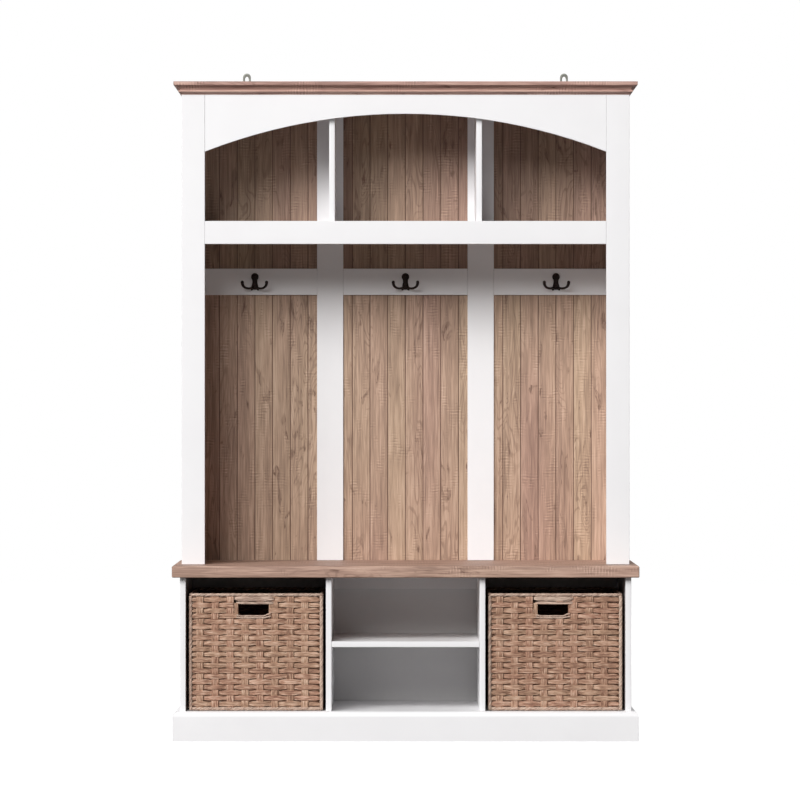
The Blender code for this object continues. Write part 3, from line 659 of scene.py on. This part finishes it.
class Strands:
    """Closed strands collected as one mesh, with where each point lies on its strand."""

    def __init__(self):
        self.points = []
        self.quads = []
        self.caps = []
        self.where = []
        self.total = 0

    def add(self, rings, along, across, tone, closed=False):
        """Rings is an array of stations, sides and coordinates. Along has a value for each station."""
        count, sides = rings.shape[:2]
        index = self.total + np.arange(count * sides).reshape(count, sides)
        after = np.roll(index, -1, axis=0)
        if not closed:
            index, after = index[:-1], after[:-1]
            first = self.total + np.arange(sides)
            self.caps.append(first.tolist())
            self.caps.append((first + (count - 1) * sides).tolist())
        beside = np.roll(index, -1, axis=1)
        beyond = np.roll(after, -1, axis=1)
        self.quads.append(np.stack([index, beside, beyond, after], axis=-1).reshape(-1, 4))
        where = np.empty((count, sides, 3))
        where[..., 0] = np.asarray(along)[:, None]
        where[..., 1] = across
        where[..., 2] = tone
        self.points.append(rings.reshape(-1, 3))
        self.where.append(where.reshape(-1, 3))
        self.total += count * sides

    def object(self, name, mat):
        faces = np.concatenate(self.quads).tolist() + self.caps
        mesh = bpy.data.meshes.new(name)
        mesh.from_pydata(np.concatenate(self.points).tolist(), [], faces)
        where = np.concatenate(self.where).astype(np.float32)
        mesh.attributes.new("fibre", "FLOAT_VECTOR", "POINT").data.foreach_set("vector", where.ravel())
        bm = bmesh.new()
        bm.from_mesh(mesh)
        bmesh.ops.recalc_face_normals(bm, faces=bm.faces[:])
        bm.to_mesh(mesh)
        bm.free()
        mesh.shade_smooth()
        return add_object(name, mesh, mat)


def ribbed(ribs, fine=4, coarse=2, valley=0.60):
    """Outline of a flat band of parallel fibres: across and depth run from -1 to 1, and 1 is outside."""
    def face(samples, sign):
        steps = ribs * samples
        a = np.linspace(-1, 1, steps + 1)
        crown = np.sqrt(np.abs(np.sin(ribs * np.pi * (a + 1) / 2)))
        edge = np.sqrt(np.clip(1 - np.abs(a) ** 7, 0, 1))
        return a, sign * edge * (1 - valley * (1 - crown))

    front_a, front_b = face(fine, 1)
    back_a, back_b = face(coarse, -1)
    a = np.concatenate([front_a, back_a[-2:0:-1]])
    b = np.concatenate([front_b, back_b[-2:0:-1]])
    return a, b


def smoothstep(t):
    t = np.clip(t, 0, 1)
    return t * t * (3 - 2 * t)


def waver(rng, at, size, length):
    """A slow random wobble along a strand."""
    total = np.zeros_like(at)
    for share in (1.0, 0.55, 0.35):
        wave = 2 * np.pi * at * rng.uniform(0.7, 1.3) / (length * share)
        total += share * np.sin(wave + rng.uniform(0, 6.28))
    return size * total / 1.9


def steps_along(start, end, step):
    """Stations from start to end, about a step apart."""
    return np.linspace(start, end, max(4, int((end - start) / step)))


def add_band(strands, rng, centre, across, outward, at, half_width, half_thick, profile):
    """A flat band through the points in centre, with its fibres wandering a little from side to side."""
    a, b = profile
    half_width = np.broadcast_to(half_width, at.shape)[:, None]
    half_thick = np.broadcast_to(half_thick, at.shape)[:, None]
    drift = waver(rng, at, 0.05, 0.09)[:, None]
    lean = rng.uniform(-0.10, 0.10) * np.sin(np.pi * a)[None, :]
    spread = a[None, :] + drift * (1 - a[None, :] ** 2) + lean
    swell = 1 + waver(rng, at, 0.10, 0.05)[:, None] * np.sign(b)[None, :]
    rings = (
        centre[:, None, :]
        + (half_width * spread)[..., None] * across
        + (half_thick * b[None, :] * swell)[..., None] * outward
    )
    strands.add(rings, at, spread * half_width, rng.random())


def add_rope(strands, rng, centre, side, up, radius, lay, swell, closed=False):
    """A twisted rope. Side and up are the directions square to its path, at each point or for all of it."""
    side = np.broadcast_to(side, centre.shape)[:, None, :]
    up = np.broadcast_to(up, centre.shape)[:, None, :]
    steps = np.diff(np.vstack([centre, centre[:1]]), axis=0)
    length = np.linalg.norm(steps, axis=1)
    at = np.concatenate([[0.0], np.cumsum(length)[:-1]])
    whole = length.sum()
    if closed:
        lay = whole / (round(whole * ROPE_LOBES / lay) / ROPE_LOBES)
    angle = np.linspace(0, 2 * np.pi, ROPE_SIDES, endpoint=False)[None, :]
    twist = (2 * np.pi * at / lay)[:, None]
    lobe = np.abs(np.cos(ROPE_LOBES * (angle - twist) / 2))
    size = radius * (0.66 + 0.34 * np.sqrt(lobe)) * (1 + waver(rng, at, swell, 0.08)[:, None])
    rings = (
        centre[:, None, :]
        + (size * np.cos(angle))[..., None] * side
        + (size * np.sin(angle))[..., None] * up
    )
    strand = np.floor(((angle - twist) * ROPE_LOBES / (2 * np.pi)) + 0.5) % ROPE_LOBES
    tone = 0.1 + 0.8 * strand / ROPE_LOBES + 0.03 * rng.random()
    strands.add(rings, at, (angle - twist) * radius, tone, closed)


# ---- baskets

# Left, right, bottom and top of the hand hole, and the ends of the grip above it
Hole = namedtuple("Hole", "left right bottom top grip_left grip_right")


class Wall:
    """One side of a basket: u runs along it, depth goes in from its outer face, and z is height."""

    def __init__(self, start, end):
        self.start = np.array((*start, 0.0))
        run = np.array((*end, 0.0)) - self.start
        self.length = float(np.linalg.norm(run))
        self.along = run / self.length
        self.outward = np.cross(self.along, Z_AXIS)

    def points(self, u, depth, z):
        u, depth, z = np.broadcast_arrays(u, depth, z)
        flat = self.start + u[:, None] * self.along - depth[:, None] * self.outward
        flat[:, 2] += z
        return flat

    def spans(self, z, hole):
        """The lengths of the wall at a height, beside the hand hole where there is one."""
        first, last = WALL_END, self.length - WALL_END
        if hole and z > hole.top + 0.004:
            return [(first, hole.grip_left - 0.002), (hole.grip_right + 0.002, last)]
        if hole and z > hole.bottom + 0.002:
            return [(first, hole.left - 0.002), (hole.right + 0.002, last)]
        return [(first, last)]

    def stake_places(self):
        if self.length > LONG_WALL:
            first = STAKE_FIRST
        else:
            first = (self.length - (STAKE_COUNT - 1) * STAKE_PITCH) / 2
        return [first + k * STAKE_PITCH for k in range(STAKE_COUNT)]


def corner_places(low, high, inset):
    """The four corners of a box seen from above, from the front left round by the right."""
    x0, x1 = low.x + inset, high.x - inset
    y0, y1 = low.y + inset, high.y - inset
    return [(x0, y0), (x1, y0), (x1, y1), (x0, y1)]


def weaver_side(u, places, row, length):
    """1 where a row of weft lies outside the stakes, and -1 where it lies behind them."""
    flat = STAKE_PITCH * 0.27
    knots = [(0.0055, -0.75)]
    for k, place in enumerate(places):
        sign = 1.0 if (k + row) % 2 == 0 else -1.0
        end_side = 0.75 if sign > 0 else -0.15
        if k == 0:
            knots.append((place - flat * 1.5, end_side))
        knots += [(place - flat, sign), (place + flat, sign)]
        if k == len(places) - 1:
            knots.append((length - 0.0130, end_side))
    knots.append((length - 0.0055, -0.75))
    result = np.full_like(u, knots[0][1])
    for (u0, s0), (u1, s1) in zip(knots, knots[1:]):
        inside = u >= u0
        result[inside] = s0 + (s1 - s0) * smoothstep((u[inside] - u0) / (u1 - u0))
    return result


def weave_weft(wall, rng, base, hole):
    """The rows of weft, which pass in front of and behind the stakes and narrow towards the corners."""
    weft = Strands()
    places = wall.stake_places()
    profile = ribbed(WEAVER_RIBS)
    foot = base + ROW_FOOT
    for row in range(ROW_COUNT):
        z = foot + (row + 0.5) * ROW_PITCH
        lift = rng.uniform(-0.0004, 0.0004)
        grow = rng.uniform(0.95, 1.05)
        for start, end in wall.spans(z + ROW_PITCH / 2, hole):
            u = steps_along(start, end, WEAVER_STEP)
            side = weaver_side(u, places, row, wall.length)
            depth = WALL_MIDDLE - WEAVER_SWING * side
            height = z + lift + waver(rng, u, 0.00045, 0.07)
            half = WEAVER_HEIGHT / 2 * grow * (1 + 0.10 * side + waver(rng, u, 0.06, 0.06))
            corner = np.minimum(u, wall.length - u)
            full = smoothstep((corner - 0.006) / 0.013)
            half *= WEAVER_NARROW + (1 - WEAVER_NARROW) * full
            height = height - WEAVER_DIP * (1 - full)
            centre = wall.points(u, depth, height)
            add_band(weft, rng, centre, Z_AXIS, wall.outward, u, half, WEAVER_THICK / 2, profile)
    return weft


def weave_stakes(wall, rng, base, hole):
    """The upright bands, which lean out where a row passes behind them."""
    stakes = Strands()
    profile = ribbed(STAKE_RIBS)
    foot = base + ROW_FOOT
    bottom = base + 0.001
    top = foot + ROW_COUNT * ROW_PITCH + 0.001
    for k, place in enumerate(wall.stake_places()):
        spans = [(bottom, top)]
        if hole and hole.left < place < hole.right:
            spans = [(bottom, hole.bottom - 0.002), (hole.top + 0.003, top)]
        shift = rng.uniform(-0.0007, 0.0007)
        for start, end in spans:
            z = steps_along(start, end, STAKE_STEP)
            turn = (z - foot) / ROW_PITCH - 0.5
            row = np.floor(turn)
            here = np.where((k + row) % 2 == 0, -1.0, 1.0)
            side = here * (1 - 2 * smoothstep((turn - row - 0.22) / 0.56))
            u = place + shift + waver(rng, z, 0.0004, 0.09)
            half = STAKE_WIDTH / 2 * (1 + waver(rng, z, 0.03, 0.05))
            centre = wall.points(u, WALL_MIDDLE - STAKE_SWING * side, z)
            add_band(stakes, rng, centre, wall.along, wall.outward, z, half, STAKE_THICK / 2, profile)
    return stakes


def core_strips(wall, rng, base, hole):
    """Strips inside the weave that close the slits between its rows. Their dark colour is painted shade in
    the slits.
    """
    strips = Strands()
    profile = ribbed(2, 4, 4)
    for row in range(ROW_COUNT + 1):
        z = base + ROW_FOOT + row * ROW_PITCH
        for start, end in wall.spans(z + ROW_PITCH * 0.4, hole):
            u = np.linspace(start + 0.001, end - 0.001, 18)
            centre = wall.points(u, CORE_DEPTH, z + waver(rng, u, 0.0003, 0.1))
            add_band(
                strips, rng, centre, Z_AXIS, wall.outward, u, CORE_HEIGHT / 2, CORE_THICK / 2, profile,
            )
    return strips


def ring_path(low, high, inset, bend, z):
    """Points around a rounded rectangle, anticlockwise from above, with the direction out of it at each."""
    centres = corner_places(low, high, inset + bend)
    count = max(4, int(bend * math.pi / 2 / RING_STEP))
    points = []
    outward = []
    for n, start in enumerate((-90, 0, 90, 180), 1):
        turn = arc(centres[n % 4], bend, start, start + 90, count)
        facing = arc((0, 0), 1.0, start, start + 90, count)
        here = np.array(turn[-1])
        run = np.array(arc(centres[(n + 1) % 4], bend, start + 90, start, 1)[0]) - here
        steps = max(2, int(np.hypot(*run) / RING_STEP))
        straight = [tuple(here + run * i / steps) for i in range(1, steps)]
        points += turn + straight
        outward += facing + [facing[-1]] * len(straight)
    level = np.full(len(points), z)
    return np.column_stack([points, level]), np.column_stack([outward, np.zeros(len(points))])


def ring_rope(rng, low, high, inset, bend, z, radius):
    """A rope round a basket, inside a box."""
    strands = Strands()
    path, outward = ring_path(low, high, inset, bend, z)
    add_rope(strands, rng, path, outward, Z_AXIS, radius, RING_LAY, swell=0.03, closed=True)
    return strands


def corner_ropes(rng, low, high, inset, foot, head, radius, lay):
    """An upright rope in each corner of a basket."""
    strands = Strands()
    for x, y in corner_places(low, high, inset):
        start = np.array((x, y, foot))
        rise = np.array((x, y, head)) - start
        count = max(4, int(np.linalg.norm(rise) / ROPE_STEP))
        path = start + np.linspace(0, 1, count)[:, None] * rise
        add_rope(strands, rng, path, X_AXIS, Y_AXIS, radius, lay, swell=0.04)
    return strands


def basket_floor(low, high, rng):
    """Two layers of flat strips, woven over and under."""
    strands = Strands()
    profile = ribbed(3, 2, 2)
    start = Vector((low.x + FLOOR_INSET, low.y + FLOOR_INSET))
    end = Vector((high.x - FLOOR_INSET, high.y - FLOOR_INSET))
    size = (end.x - start.x, end.y - start.y)
    counts = [int(length / FLOOR_PITCH) for length in size]
    middle = low.z + FLOOR_MIDDLE
    for axis in (0, 1):
        other = 1 - axis
        step = size[other] / counts[other]
        crossing = size[axis] / counts[axis]
        for i in range(counts[other]):
            at = np.linspace(0, size[axis], int(size[axis] / FLOOR_STEP))
            centre = np.empty((len(at), 3))
            centre[:, axis] = start[axis] + at
            centre[:, other] = start[other] + (i + 0.5) * step
            centre[:, 2] = middle + FLOOR_SWING * np.sin(np.pi * (at / crossing + i + axis))
            across = Y_AXIS if axis == 0 else X_AXIS
            add_band(strands, rng, centre, across, Z_AXIS, at, step * 0.46, FLOOR_THICK / 2, profile)
    return strands


def build_basket(side, seed, fibre_mat, rope_mat, core_shade_mat):
    name = f"basket_{side}"
    low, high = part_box(f"{name}_body")
    rim_low, rim_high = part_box(f"{name}_rim")
    rng = np.random.default_rng(seed)
    slot_top = rim_high.z - SLOT_DROP
    slot_middle = (high.x - low.x) / 2 + SLOT_OFFSET
    hole = Hole(
        slot_middle - SLOT_WIDTH / 2, slot_middle + SLOT_WIDTH / 2,
        slot_top - SLOT_HEIGHT, slot_top, GRIP_LEFT, GRIP_RIGHT,
    )
    corners = corner_places(low, high, 0.0)
    walls = {
        place: Wall(corners[n], corners[(n + 1) % 4])
        for n, place in enumerate(("front", "right", "rear", "left"))
    }
    weaves = (
        ("weft", weave_weft, fibre_mat),
        ("stakes", weave_stakes, fibre_mat),
        ("core", core_strips, core_shade_mat),
    )
    pieces = []
    for place, wall in walls.items():
        opening = hole if place == "front" else None
        for part, weave, mat in weaves:
            pieces.append(weave(wall, rng, low.z, opening).object(f"{name}_{part}_{place}", mat))

    pieces.append(basket_floor(low, high, rng).object(f"{name}_floor", fibre_mat))

    inset = POST_RADIUS + GAP
    posts = corner_ropes(rng, low, high, inset, low.z + 0.002, rim_low.z + 0.002, POST_RADIUS, POST_LAY)
    pieces.append(posts.object(f"{name}_corners", rope_mat))

    # The corner cords take the dark core colour: painted shade in the corners of the weave
    fillers = corner_ropes(
        rng, low, high, FILLER_INSET, low.z + 0.004, rim_low.z, FILLER_RADIUS, FILLER_LAY,
    )
    pieces.append(fillers.object(f"{name}_core_corners", core_shade_mat))

    level = low.z + BASE_RADIUS + 0.0002
    base = ring_rope(rng, low, high, BASE_RADIUS + 0.0004, BASE_BEND, level, BASE_RADIUS)
    pieces.append(base.object(f"{name}_base", rope_mat))

    radius = (rim_high.z - rim_low.z) / 2
    level = (rim_low.z + rim_high.z) / 2
    rim = ring_rope(rng, rim_low, rim_high, radius, RIM_BEND, level, radius * RIM_FILL)
    rim_piece = rim.object(f"{name}_rope", rope_mat)
    pieces.append(rim_piece)
    pieces += basket_grip(name, walls["front"], hole, rim_low.z, rng, fibre_mat, rope_mat)

    for piece in pieces:
        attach(piece, name)
    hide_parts(f"{name}_body")
    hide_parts(f"{name}_rim")


def basket_grip(name, wall, hole, rim_under, rng, fibre_mat, rope_mat):
    """The bundles above the hand hole, the cords below it, and the binding at its ends."""
    grip = Strands()
    # Height, half height, ribs, depth and ends of each bundle
    bundles = (
        (rim_under - 0.0047, 0.0057, 3, 0.0014, hole.grip_left, hole.grip_right),
        (hole.top + 0.0036, 0.0036, 2, 0.0016, hole.grip_left + 0.004, hole.grip_right + 0.001),
    )
    for z, half_height, ribs, depth, start, end in bundles:
        u = np.linspace(start, end, int((end - start) / RING_STEP))
        inner = np.minimum(u - start, end - u)
        taper = 0.62 + 0.38 * smoothstep(inner / 0.012)
        sink = 0.0030 * (1 - smoothstep(inner / 0.008))
        droop = -0.0006 * np.sin(np.pi * (u - start) / (end - start))
        centre = wall.points(u, depth + 0.0004 + sink, z + droop)
        profile = ribbed(ribs, 5, 2, 0.5)
        add_band(grip, rng, centre, Z_AXIS, wall.outward, u, half_height * taper, GRIP_THICK / 2, profile)

    # Drop below the hole, radius, and rise towards the right end of each cord
    for drop, radius, rise in ((0.0012, 0.0024, 0.0055), (0.0058, 0.0023, 0.0030)):
        u = np.linspace(hole.left - 0.006, hole.right + 0.006, 40)
        lift = rise * smoothstep((u - hole.right + 0.014) / 0.016)
        lift = lift + rise * 0.4 * smoothstep((hole.left + 0.010 - u) / 0.014)
        path = wall.points(u, 0.0029, hole.bottom - drop + lift)
        add_rope(grip, rng, path, wall.outward, Z_AXIS, radius, CORD_LAY, swell=0.04)

    sides = Strands()
    for place, half in ((hole.left - 0.0058, 0.0054), (hole.right + 0.0036, 0.0032)):
        z = np.linspace(hole.bottom - 0.002, hole.top + 0.003, 14)
        centre = wall.points(place, 0.0032, z)
        add_band(sides, rng, centre, wall.along, wall.outward, z, half, 0.0013, ribbed(2, 5, 2))
    return [
        grip.object(f"{name}_grip", rope_mat),
        sides.object(f"{name}_grip_sides", fibre_mat),
    ]


# ---- hooks

def hook_outline(top, steps=10):
    """Half of the back plate from the front, from the notch at its foot round to its crown."""
    points = [(0.0, 0.0042 - top), (0.0030, 0.0034 - top), (0.0062, 0.0010 - top)]
    points += arc((0.0088, 0.0026 - top), 0.0026, -110, 20, 6)
    shoulder = Vector((0.0112, 0.0062 - top))
    bend = Vector((0.0090, 0.0110 - top))
    neck = Vector((HOOK_STEM, 0.0225 - top))
    for i in range(1, steps + 1):
        t = i / steps
        point = (1 - t) ** 2 * shoulder + 2 * t * (1 - t) * bend + t ** 2 * neck
        points.append(tuple(point))
    start = -math.degrees(math.acos(HOOK_STEM / HOOK_HEAD)) + 4
    points += arc((0.0, top - HOOK_HEAD), HOOK_HEAD, start, 90, 16)
    return points


def hook_prong(low, sign, steps=44):
    """Centre line and radii of a prong: out of the foot, forward, and up to a rounded tip."""
    controls = [
        Vector((sign * 0.0045, -0.0030, low + 0.0070)),
        Vector((sign * 0.0100, -HOOK_REACH * 0.30, low + 0.0005)),
        Vector((sign * HOOK_SPREAD * 1.02, -HOOK_REACH * 0.95, low - 0.0005)),
        Vector((sign * HOOK_SPREAD, -HOOK_REACH, HOOK_TIP - PRONG_TIP)),
    ]
    points = []
    radii = []
    for i in range(steps + 1):
        t = i / steps
        u = 1 - t
        weights = (u ** 3, 3 * u * u * t, 3 * u * t * t, t ** 3)
        points.append(sum((w * c for w, c in zip(weights, controls)), Vector()))
        radii.append(PRONG + (PRONG_TIP - PRONG) * max(0.0, (t - 0.55) / 0.45) ** 1.3)
    return points, radii


def add_ball(bm, centre, radii, segments=24):
    place = Matrix.Translation(centre) @ Matrix.Diagonal((*radii, 1.0))
    bmesh.ops.create_uvsphere(bm, u_segments=segments, v_segments=segments // 2, radius=1.0, matrix=place)


def hook_mesh():
    """A cast coat hook with two prongs, as one skin. Its origin is in the middle of its back."""
    top = HOOK_HEIGHT / 2
    bm = bmesh.new()
    outline = both_halves(hook_outline(top), 1)
    back = [bm.verts.new((x, -GAP, z)) for x, z in outline]
    front = [bm.verts.new((x * 0.93, -HOOK_PLATE, z * 0.985)) for x, z in outline]
    bm.faces.new(back)
    bm.faces.new(front)
    add_wall_faces(bm, back, front)
    # The crown, the stem and the foot of the casting swell out of the plate
    add_ball(bm, (0, -0.0018, top - HOOK_HEAD), (0.0099, 0.0048, 0.0099))
    add_ball(bm, (0, -0.0020, -0.0010), (0.0060, 0.0042, 0.0175))
    add_ball(bm, (0, -0.0022, -0.0150), (0.0095, 0.0040, 0.0062))
    for sign in (-1, 1):
        for point, radius in zip(*hook_prong(HOOK_FOOT - top, sign)):
            add_ball(bm, point, (radius, radius, radius), 14)
    rough = add_object("hook_rough", mesh_from("hook_rough", bm))
    remesh = rough.modifiers.new("skin", "REMESH")
    remesh.mode = "VOXEL"
    remesh.voxel_size = HOOK_VOXEL
    relax = rough.modifiers.new("relax", "SMOOTH")
    relax.factor = 0.5
    relax.iterations = 6
    mesh = evaluated(rough)
    for vertex in mesh.vertices:
        vertex.co.y = min(vertex.co.y, -GAP)
    smooth_shade(mesh)
    return mesh


# ---- screws and hangers

def screw_profile(length):
    """Radius and height of a pan-head screw, from its point back over its head."""
    brim = -SCREW_CROWN * 0.35
    crown = (SCREW_HEAD, -SCREW_CROWN * 0.65)
    points = [(0.0, length), (SCREW_SHANK * 0.4, length - 0.0012), (SCREW_SHANK, length - 0.003)]
    points += [(SCREW_SHANK, 0.0), (SCREW_HEAD, 0.0), (SCREW_HEAD, brim)]
    return points + arc((0.0, brim), crown, 12, 90, 8)


def recess_cutter(name, turn):
    """One bar of the cross recess in a screw's head, narrower at its bottom."""
    wide = SCREW_HEAD * 0.56
    thin = SCREW_HEAD * 0.13
    bm = bmesh.new()
    for z, share in ((-SCREW_CROWN * 1.4, 1.15), (-SCREW_CROWN * 0.25, 0.45)):
        for x, y in ((-wide, -thin), (wide, -thin), (wide, thin), (-wide, thin)):
            bm.verts.new((x * share, y * (0.7 + 0.3 * share), z))
    bmesh.ops.convex_hull(bm, input=bm.verts[:])
    cutter = add_object(name, mesh_from(name, bm))
    cutter.rotation_euler.z = turn
    return cutter


def screw_mesh(name, length):
    """A pan-head screw with a cross recess. It points along +Z, and its head seats at the origin."""
    bm = bmesh.new()
    rings = []
    for radius, z in screw_profile(length):
        if radius < 1e-5:
            rings.append([bm.verts.new((0, 0, z))])
            continue
        ring = []
        for k in range(SCREW_SIDES):
            a = 2 * math.pi * k / SCREW_SIDES
            ring.append(bm.verts.new((radius * math.cos(a), radius * math.sin(a), z)))
        rings.append(ring)
    for a, b in zip(rings, rings[1:]):
        for k in range(SCREW_SIDES):
            m = (k + 1) % SCREW_SIDES
            corners = [a[k % len(a)], a[m % len(a)], b[m % len(b)], b[k % len(b)]]
            bm.faces.new(list(dict.fromkeys(corners)))
    body = add_object(name, mesh_from(name, bm, HOOK_SHARP))
    cutters = [recess_cutter(f"{name}_cut", turn) for turn in (0, math.pi / 2)]
    for cutter in cutters:
        mod = body.modifiers.new("recess", "BOOLEAN")
        mod.solver = "EXACT"
        mod.object = cutter
    mesh = evaluated(body)
    for cutter in cutters:
        bpy.data.objects.remove(cutter, do_unlink=True)
    smooth_shade(mesh, FITTING_SHARP)
    return mesh


def hanger_mesh(low, high):
    """A stamped plate: a foot for two screws, a neck, and an eye. Its origin is at half its width."""
    foot = (high.x - low.x) / 2
    shelf = low.z + HANGER_FOOT
    crown = high.z - HANGER_NECK
    turn = HANGER_ROUND
    fillet = HANGER_FILLET
    half = arc((foot - turn, low.z + turn), turn, -90, 0, 4)
    half += arc((foot - turn, shelf - turn), turn, 0, 90, 4)
    half += arc((HANGER_NECK + fillet, shelf + fillet), fillet, 270, 180, 5)
    half += arc((0.0, crown), HANGER_NECK, 0, 90, 20)
    hole = arc((0.0, crown - HANGER_EYE_DROP), HANGER_EYE, 0, 360, 40)[:-1]
    bm = bmesh.new()
    for loop in (both_halves(half, 0), hole):
        corners = [bm.verts.new((x, 0.0, z)) for x, z in loop]
        for a, b in zip(corners, corners[1:] + corners[:1]):
            bm.edges.new((a, b))
    bmesh.ops.triangle_fill(bm, edges=bm.edges[:], use_beauty=True)
    extruded = bmesh.ops.extrude_face_region(bm, geom=bm.faces[:])
    moved = [item for item in extruded["geom"] if isinstance(item, bmesh.types.BMVert)]
    bmesh.ops.translate(bm, verts=moved, vec=(0, high.y - low.y, 0))
    plate = add_object("hanger_rough", mesh_from("hanger", bm))
    ease = plate.modifiers.new("ease", "BEVEL")
    ease.width = HANGER_EASE
    ease.segments = 2
    ease.angle_limit = math.radians(50)
    mesh = evaluated(plate)
    smooth_shade(mesh, FITTING_SHARP)
    return mesh


def add_screw(node, mesh, mat, depth, turn):
    """A screw in a CAD screw's place. Depth gives where its head seats, from the screw's box."""
    low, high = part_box(node)
    place = ((low.x + high.x) / 2, depth(low, high), (low.z + high.z) / 2)
    screw = add_object(f"{node}_turned", mesh.copy(), mat, place)
    screw.rotation_euler.x = turn
    stand_for(screw, node)


def build_hooks(mat):
    cast = hook_mesh()
    for bay in BAYS:
        node = f"coat_hook_{bay}"
        low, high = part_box(node)
        place = ((low.x + high.x) / 2, high.y + GAP, high.z - HOOK_HEIGHT / 2)
        stand_for(add_object(f"{node}_cast", cast.copy(), mat, place), node)

    screw = screw_mesh("screw_short", SHORT_SCREW)
    for bay in BAYS:
        for level, proud in (("upper", 0.0022), ("lower", 0.0016)):
            add_screw(
                f"hook_screw_{bay}_{level}", screw, mat,
                lambda low, high: low.y + SCREW_SEAT - proud, -math.pi / 2,
            )


def build_hangers(mat):
    plate = hanger_mesh(*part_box("wall_hanger_left"))
    screw = screw_mesh("screw_long", LONG_SCREW)
    for side in SIDES:
        node = f"wall_hanger_{side}"
        low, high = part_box(node)
        place = ((low.x + high.x) / 2, low.y, 0)
        stand_for(add_object(f"{node}_plate", plate.copy(), mat, place), node)
        for which in "ab":
            add_screw(
                f"hanger_screw_{side}_{which}", screw, mat,
                lambda low, high: high.y - SCREW_SEAT, math.pi / 2,
            )


# ---- stage, light and camera

def build_floor():
    """A plain pale floor: the camera sees it evenly lit, and it sends a little light back to the object."""
    g = Graph("studio_floor")
    camera = g.node("ShaderNodeLightPath").outputs["Is Camera Ray"]
    diffuse = g.node("ShaderNodeBsdfDiffuse", {"Color": (FLOOR_ALBEDO, FLOOR_ALBEDO, FLOOR_ALBEDO, 1.0)})
    strength = g.times(camera, FLOOR_GLOW)
    glow = g.node("ShaderNodeEmission", {"Color": (1, 1, 1, 1), "Strength": strength})
    both = g.node("ShaderNodeAddShader", {0: diffuse.outputs[0], 1: glow.outputs[0]})
    g.tree.links.new(both.outputs[0], g.tree.nodes["Material Output"].inputs["Surface"])
    bm = bmesh.new()
    bmesh.ops.create_circle(bm, cap_ends=True, segments=96, radius=FLOOR_RADIUS)
    floor = add_object("studio_floor", mesh_from("studio_floor", bm), g.material, (0, 0, CAD_BOX[0].z))


def build_world():
    """White behind the object, and a faint even light on it."""
    world = bpy.data.worlds.new("studio")
    bpy.context.scene.world = world
    world.use_nodes = True
    tree = world.node_tree
    back = tree.nodes["Background"]
    path = tree.nodes.new("ShaderNodeLightPath")
    strength = tree.nodes.new("ShaderNodeMapRange")
    tree.links.new(path.outputs["Is Camera Ray"], strength.inputs["Value"])
    strength.inputs["To Min"].default_value = WORLD_FILL
    strength.inputs["To Max"].default_value = 1.0
    tree.links.new(strength.outputs[0], back.inputs["Strength"])
    back.inputs["Color"].default_value = (1, 1, 1, 1)


def area_light(name, place, width, height, energy):
    lamp = bpy.data.lights.new(name, "AREA")
    lamp.shape = "RECTANGLE"
    lamp.size = width
    lamp.size_y = height
    lamp.energy = energy
    obj = bpy.data.objects.new(name, lamp)
    bpy.context.scene.collection.objects.link(obj)
    obj.location = place
    obj.rotation_euler = (Vector(LIGHT_TARGET) - Vector(place)).to_track_quat("-Z", "Y").to_euler()


def build_camera():
    camera = bpy.data.cameras.new("camera")
    camera.lens = LENS
    camera.sensor_width = SENSOR
    obj = bpy.data.objects.new("camera", camera)
    bpy.context.scene.collection.objects.link(obj)
    obj.location = (VIEW_SIDE, -VIEW_DISTANCE, VIEW_HEIGHT)
    obj.rotation_euler = (math.pi / 2, 0, 0)
    bpy.context.scene.camera = obj


# ---- assembly

def build_white_boards(white):
    nodes = [
        "bench_bottom_panel", "bench_middle_shelf", "plinth_rear_rail",
        "arch_valance", "hutch_shelf", "shelf_front_rail",
    ]
    for side in SIDES:
        nodes += [
            f"bench_side_{side}", f"bench_divider_{side}", f"hutch_side_{side}",
            f"hutch_stile_{side}", f"upper_divider_{side}", f"mullion_{side}",
        ]
    for bay in BAYS:
        nodes += [f"seat_rear_rail_{bay}", f"hook_rail_{bay}"]
    for node in nodes:
        keep_node(node, white)
    # The bench back panel takes the darker white: painted shade in the cubbies
    keep_node("bench_back_panel", shaded_white_panel())


def build_boards():
    white = white_laminate()
    build_white_boards(white)
    for bay in BAYS:
        middle = BAY_MIDDLES[bay]
        planks = oak(f"oak_decor_{bay}", "z", middle, seed=1.0, contrast=0.78)
        # The upper bays' oak is a darker, flatter copy of the lower oak: painted shade under the arch and
        # the shelf
        upper = oak(f"oak_decor_shaded_upper_{bay}", "z", middle, seed=4.0, light=0.84, contrast=0.62)
        keep_node(f"back_panel_lower_{bay}", planks)
        keep_node(f"back_panel_upper_{bay}", upper)

    crown_look = {"seed": 7.0, "rosy": 0.9, "light": 1.08, "figure": 0.10}
    crown = oak("oak_decor_crown", "x", **crown_look)
    crown_return = oak("oak_decor_return", "y", **crown_look)
    keep_node("bench_top", oak("oak_decor_seat", "x", seed=2.0, rosy=0.5, light=0.94, figure=0.10))
    keep_node("hutch_top_panel", crown)
    for part, wood in (("front", crown), ("left", crown_return), ("right", crown_return)):
        moulding(f"cornice_{part}", wood, cornice_profile)
    for part in ("front", "side_left", "side_right"):
        moulding(f"plinth_{part}", white, plinth_profile)


def main():
    build_boards()
    zinc_mat = zinc()
    build_hooks(bronze())
    build_hangers(zinc_mat)
    fibre_mat = fibre("woven_fibre_visual", *WOVEN)
    rope_mat = fibre("fibre_rope_visual", *ROPE)
    core_shade_mat = fibre("fibre_core_shaded_visual", *SHADED_CORE)
    for side, seed in (("left", 11), ("right", 12)):
        build_basket(side, seed, fibre_mat, rope_mat, core_shade_mat)
        keep_node(f"basket_{side}_wire_frame", zinc_mat)
    build_floor()
    build_world()
    build_camera()
    area_light("key", (-10.1, -16.7, 12.7), width=20.5, height=11.5, energy=7560)
    area_light("rear_right", (4.2, 4.6, 3.6), width=4.0, height=3.0, energy=260)
    area_light("rear_left", (-4.6, 4.2, 3.0), width=3.0, height=3.0, energy=160)
    bpy.context.scene.view_settings.view_transform = "Standard"


main()
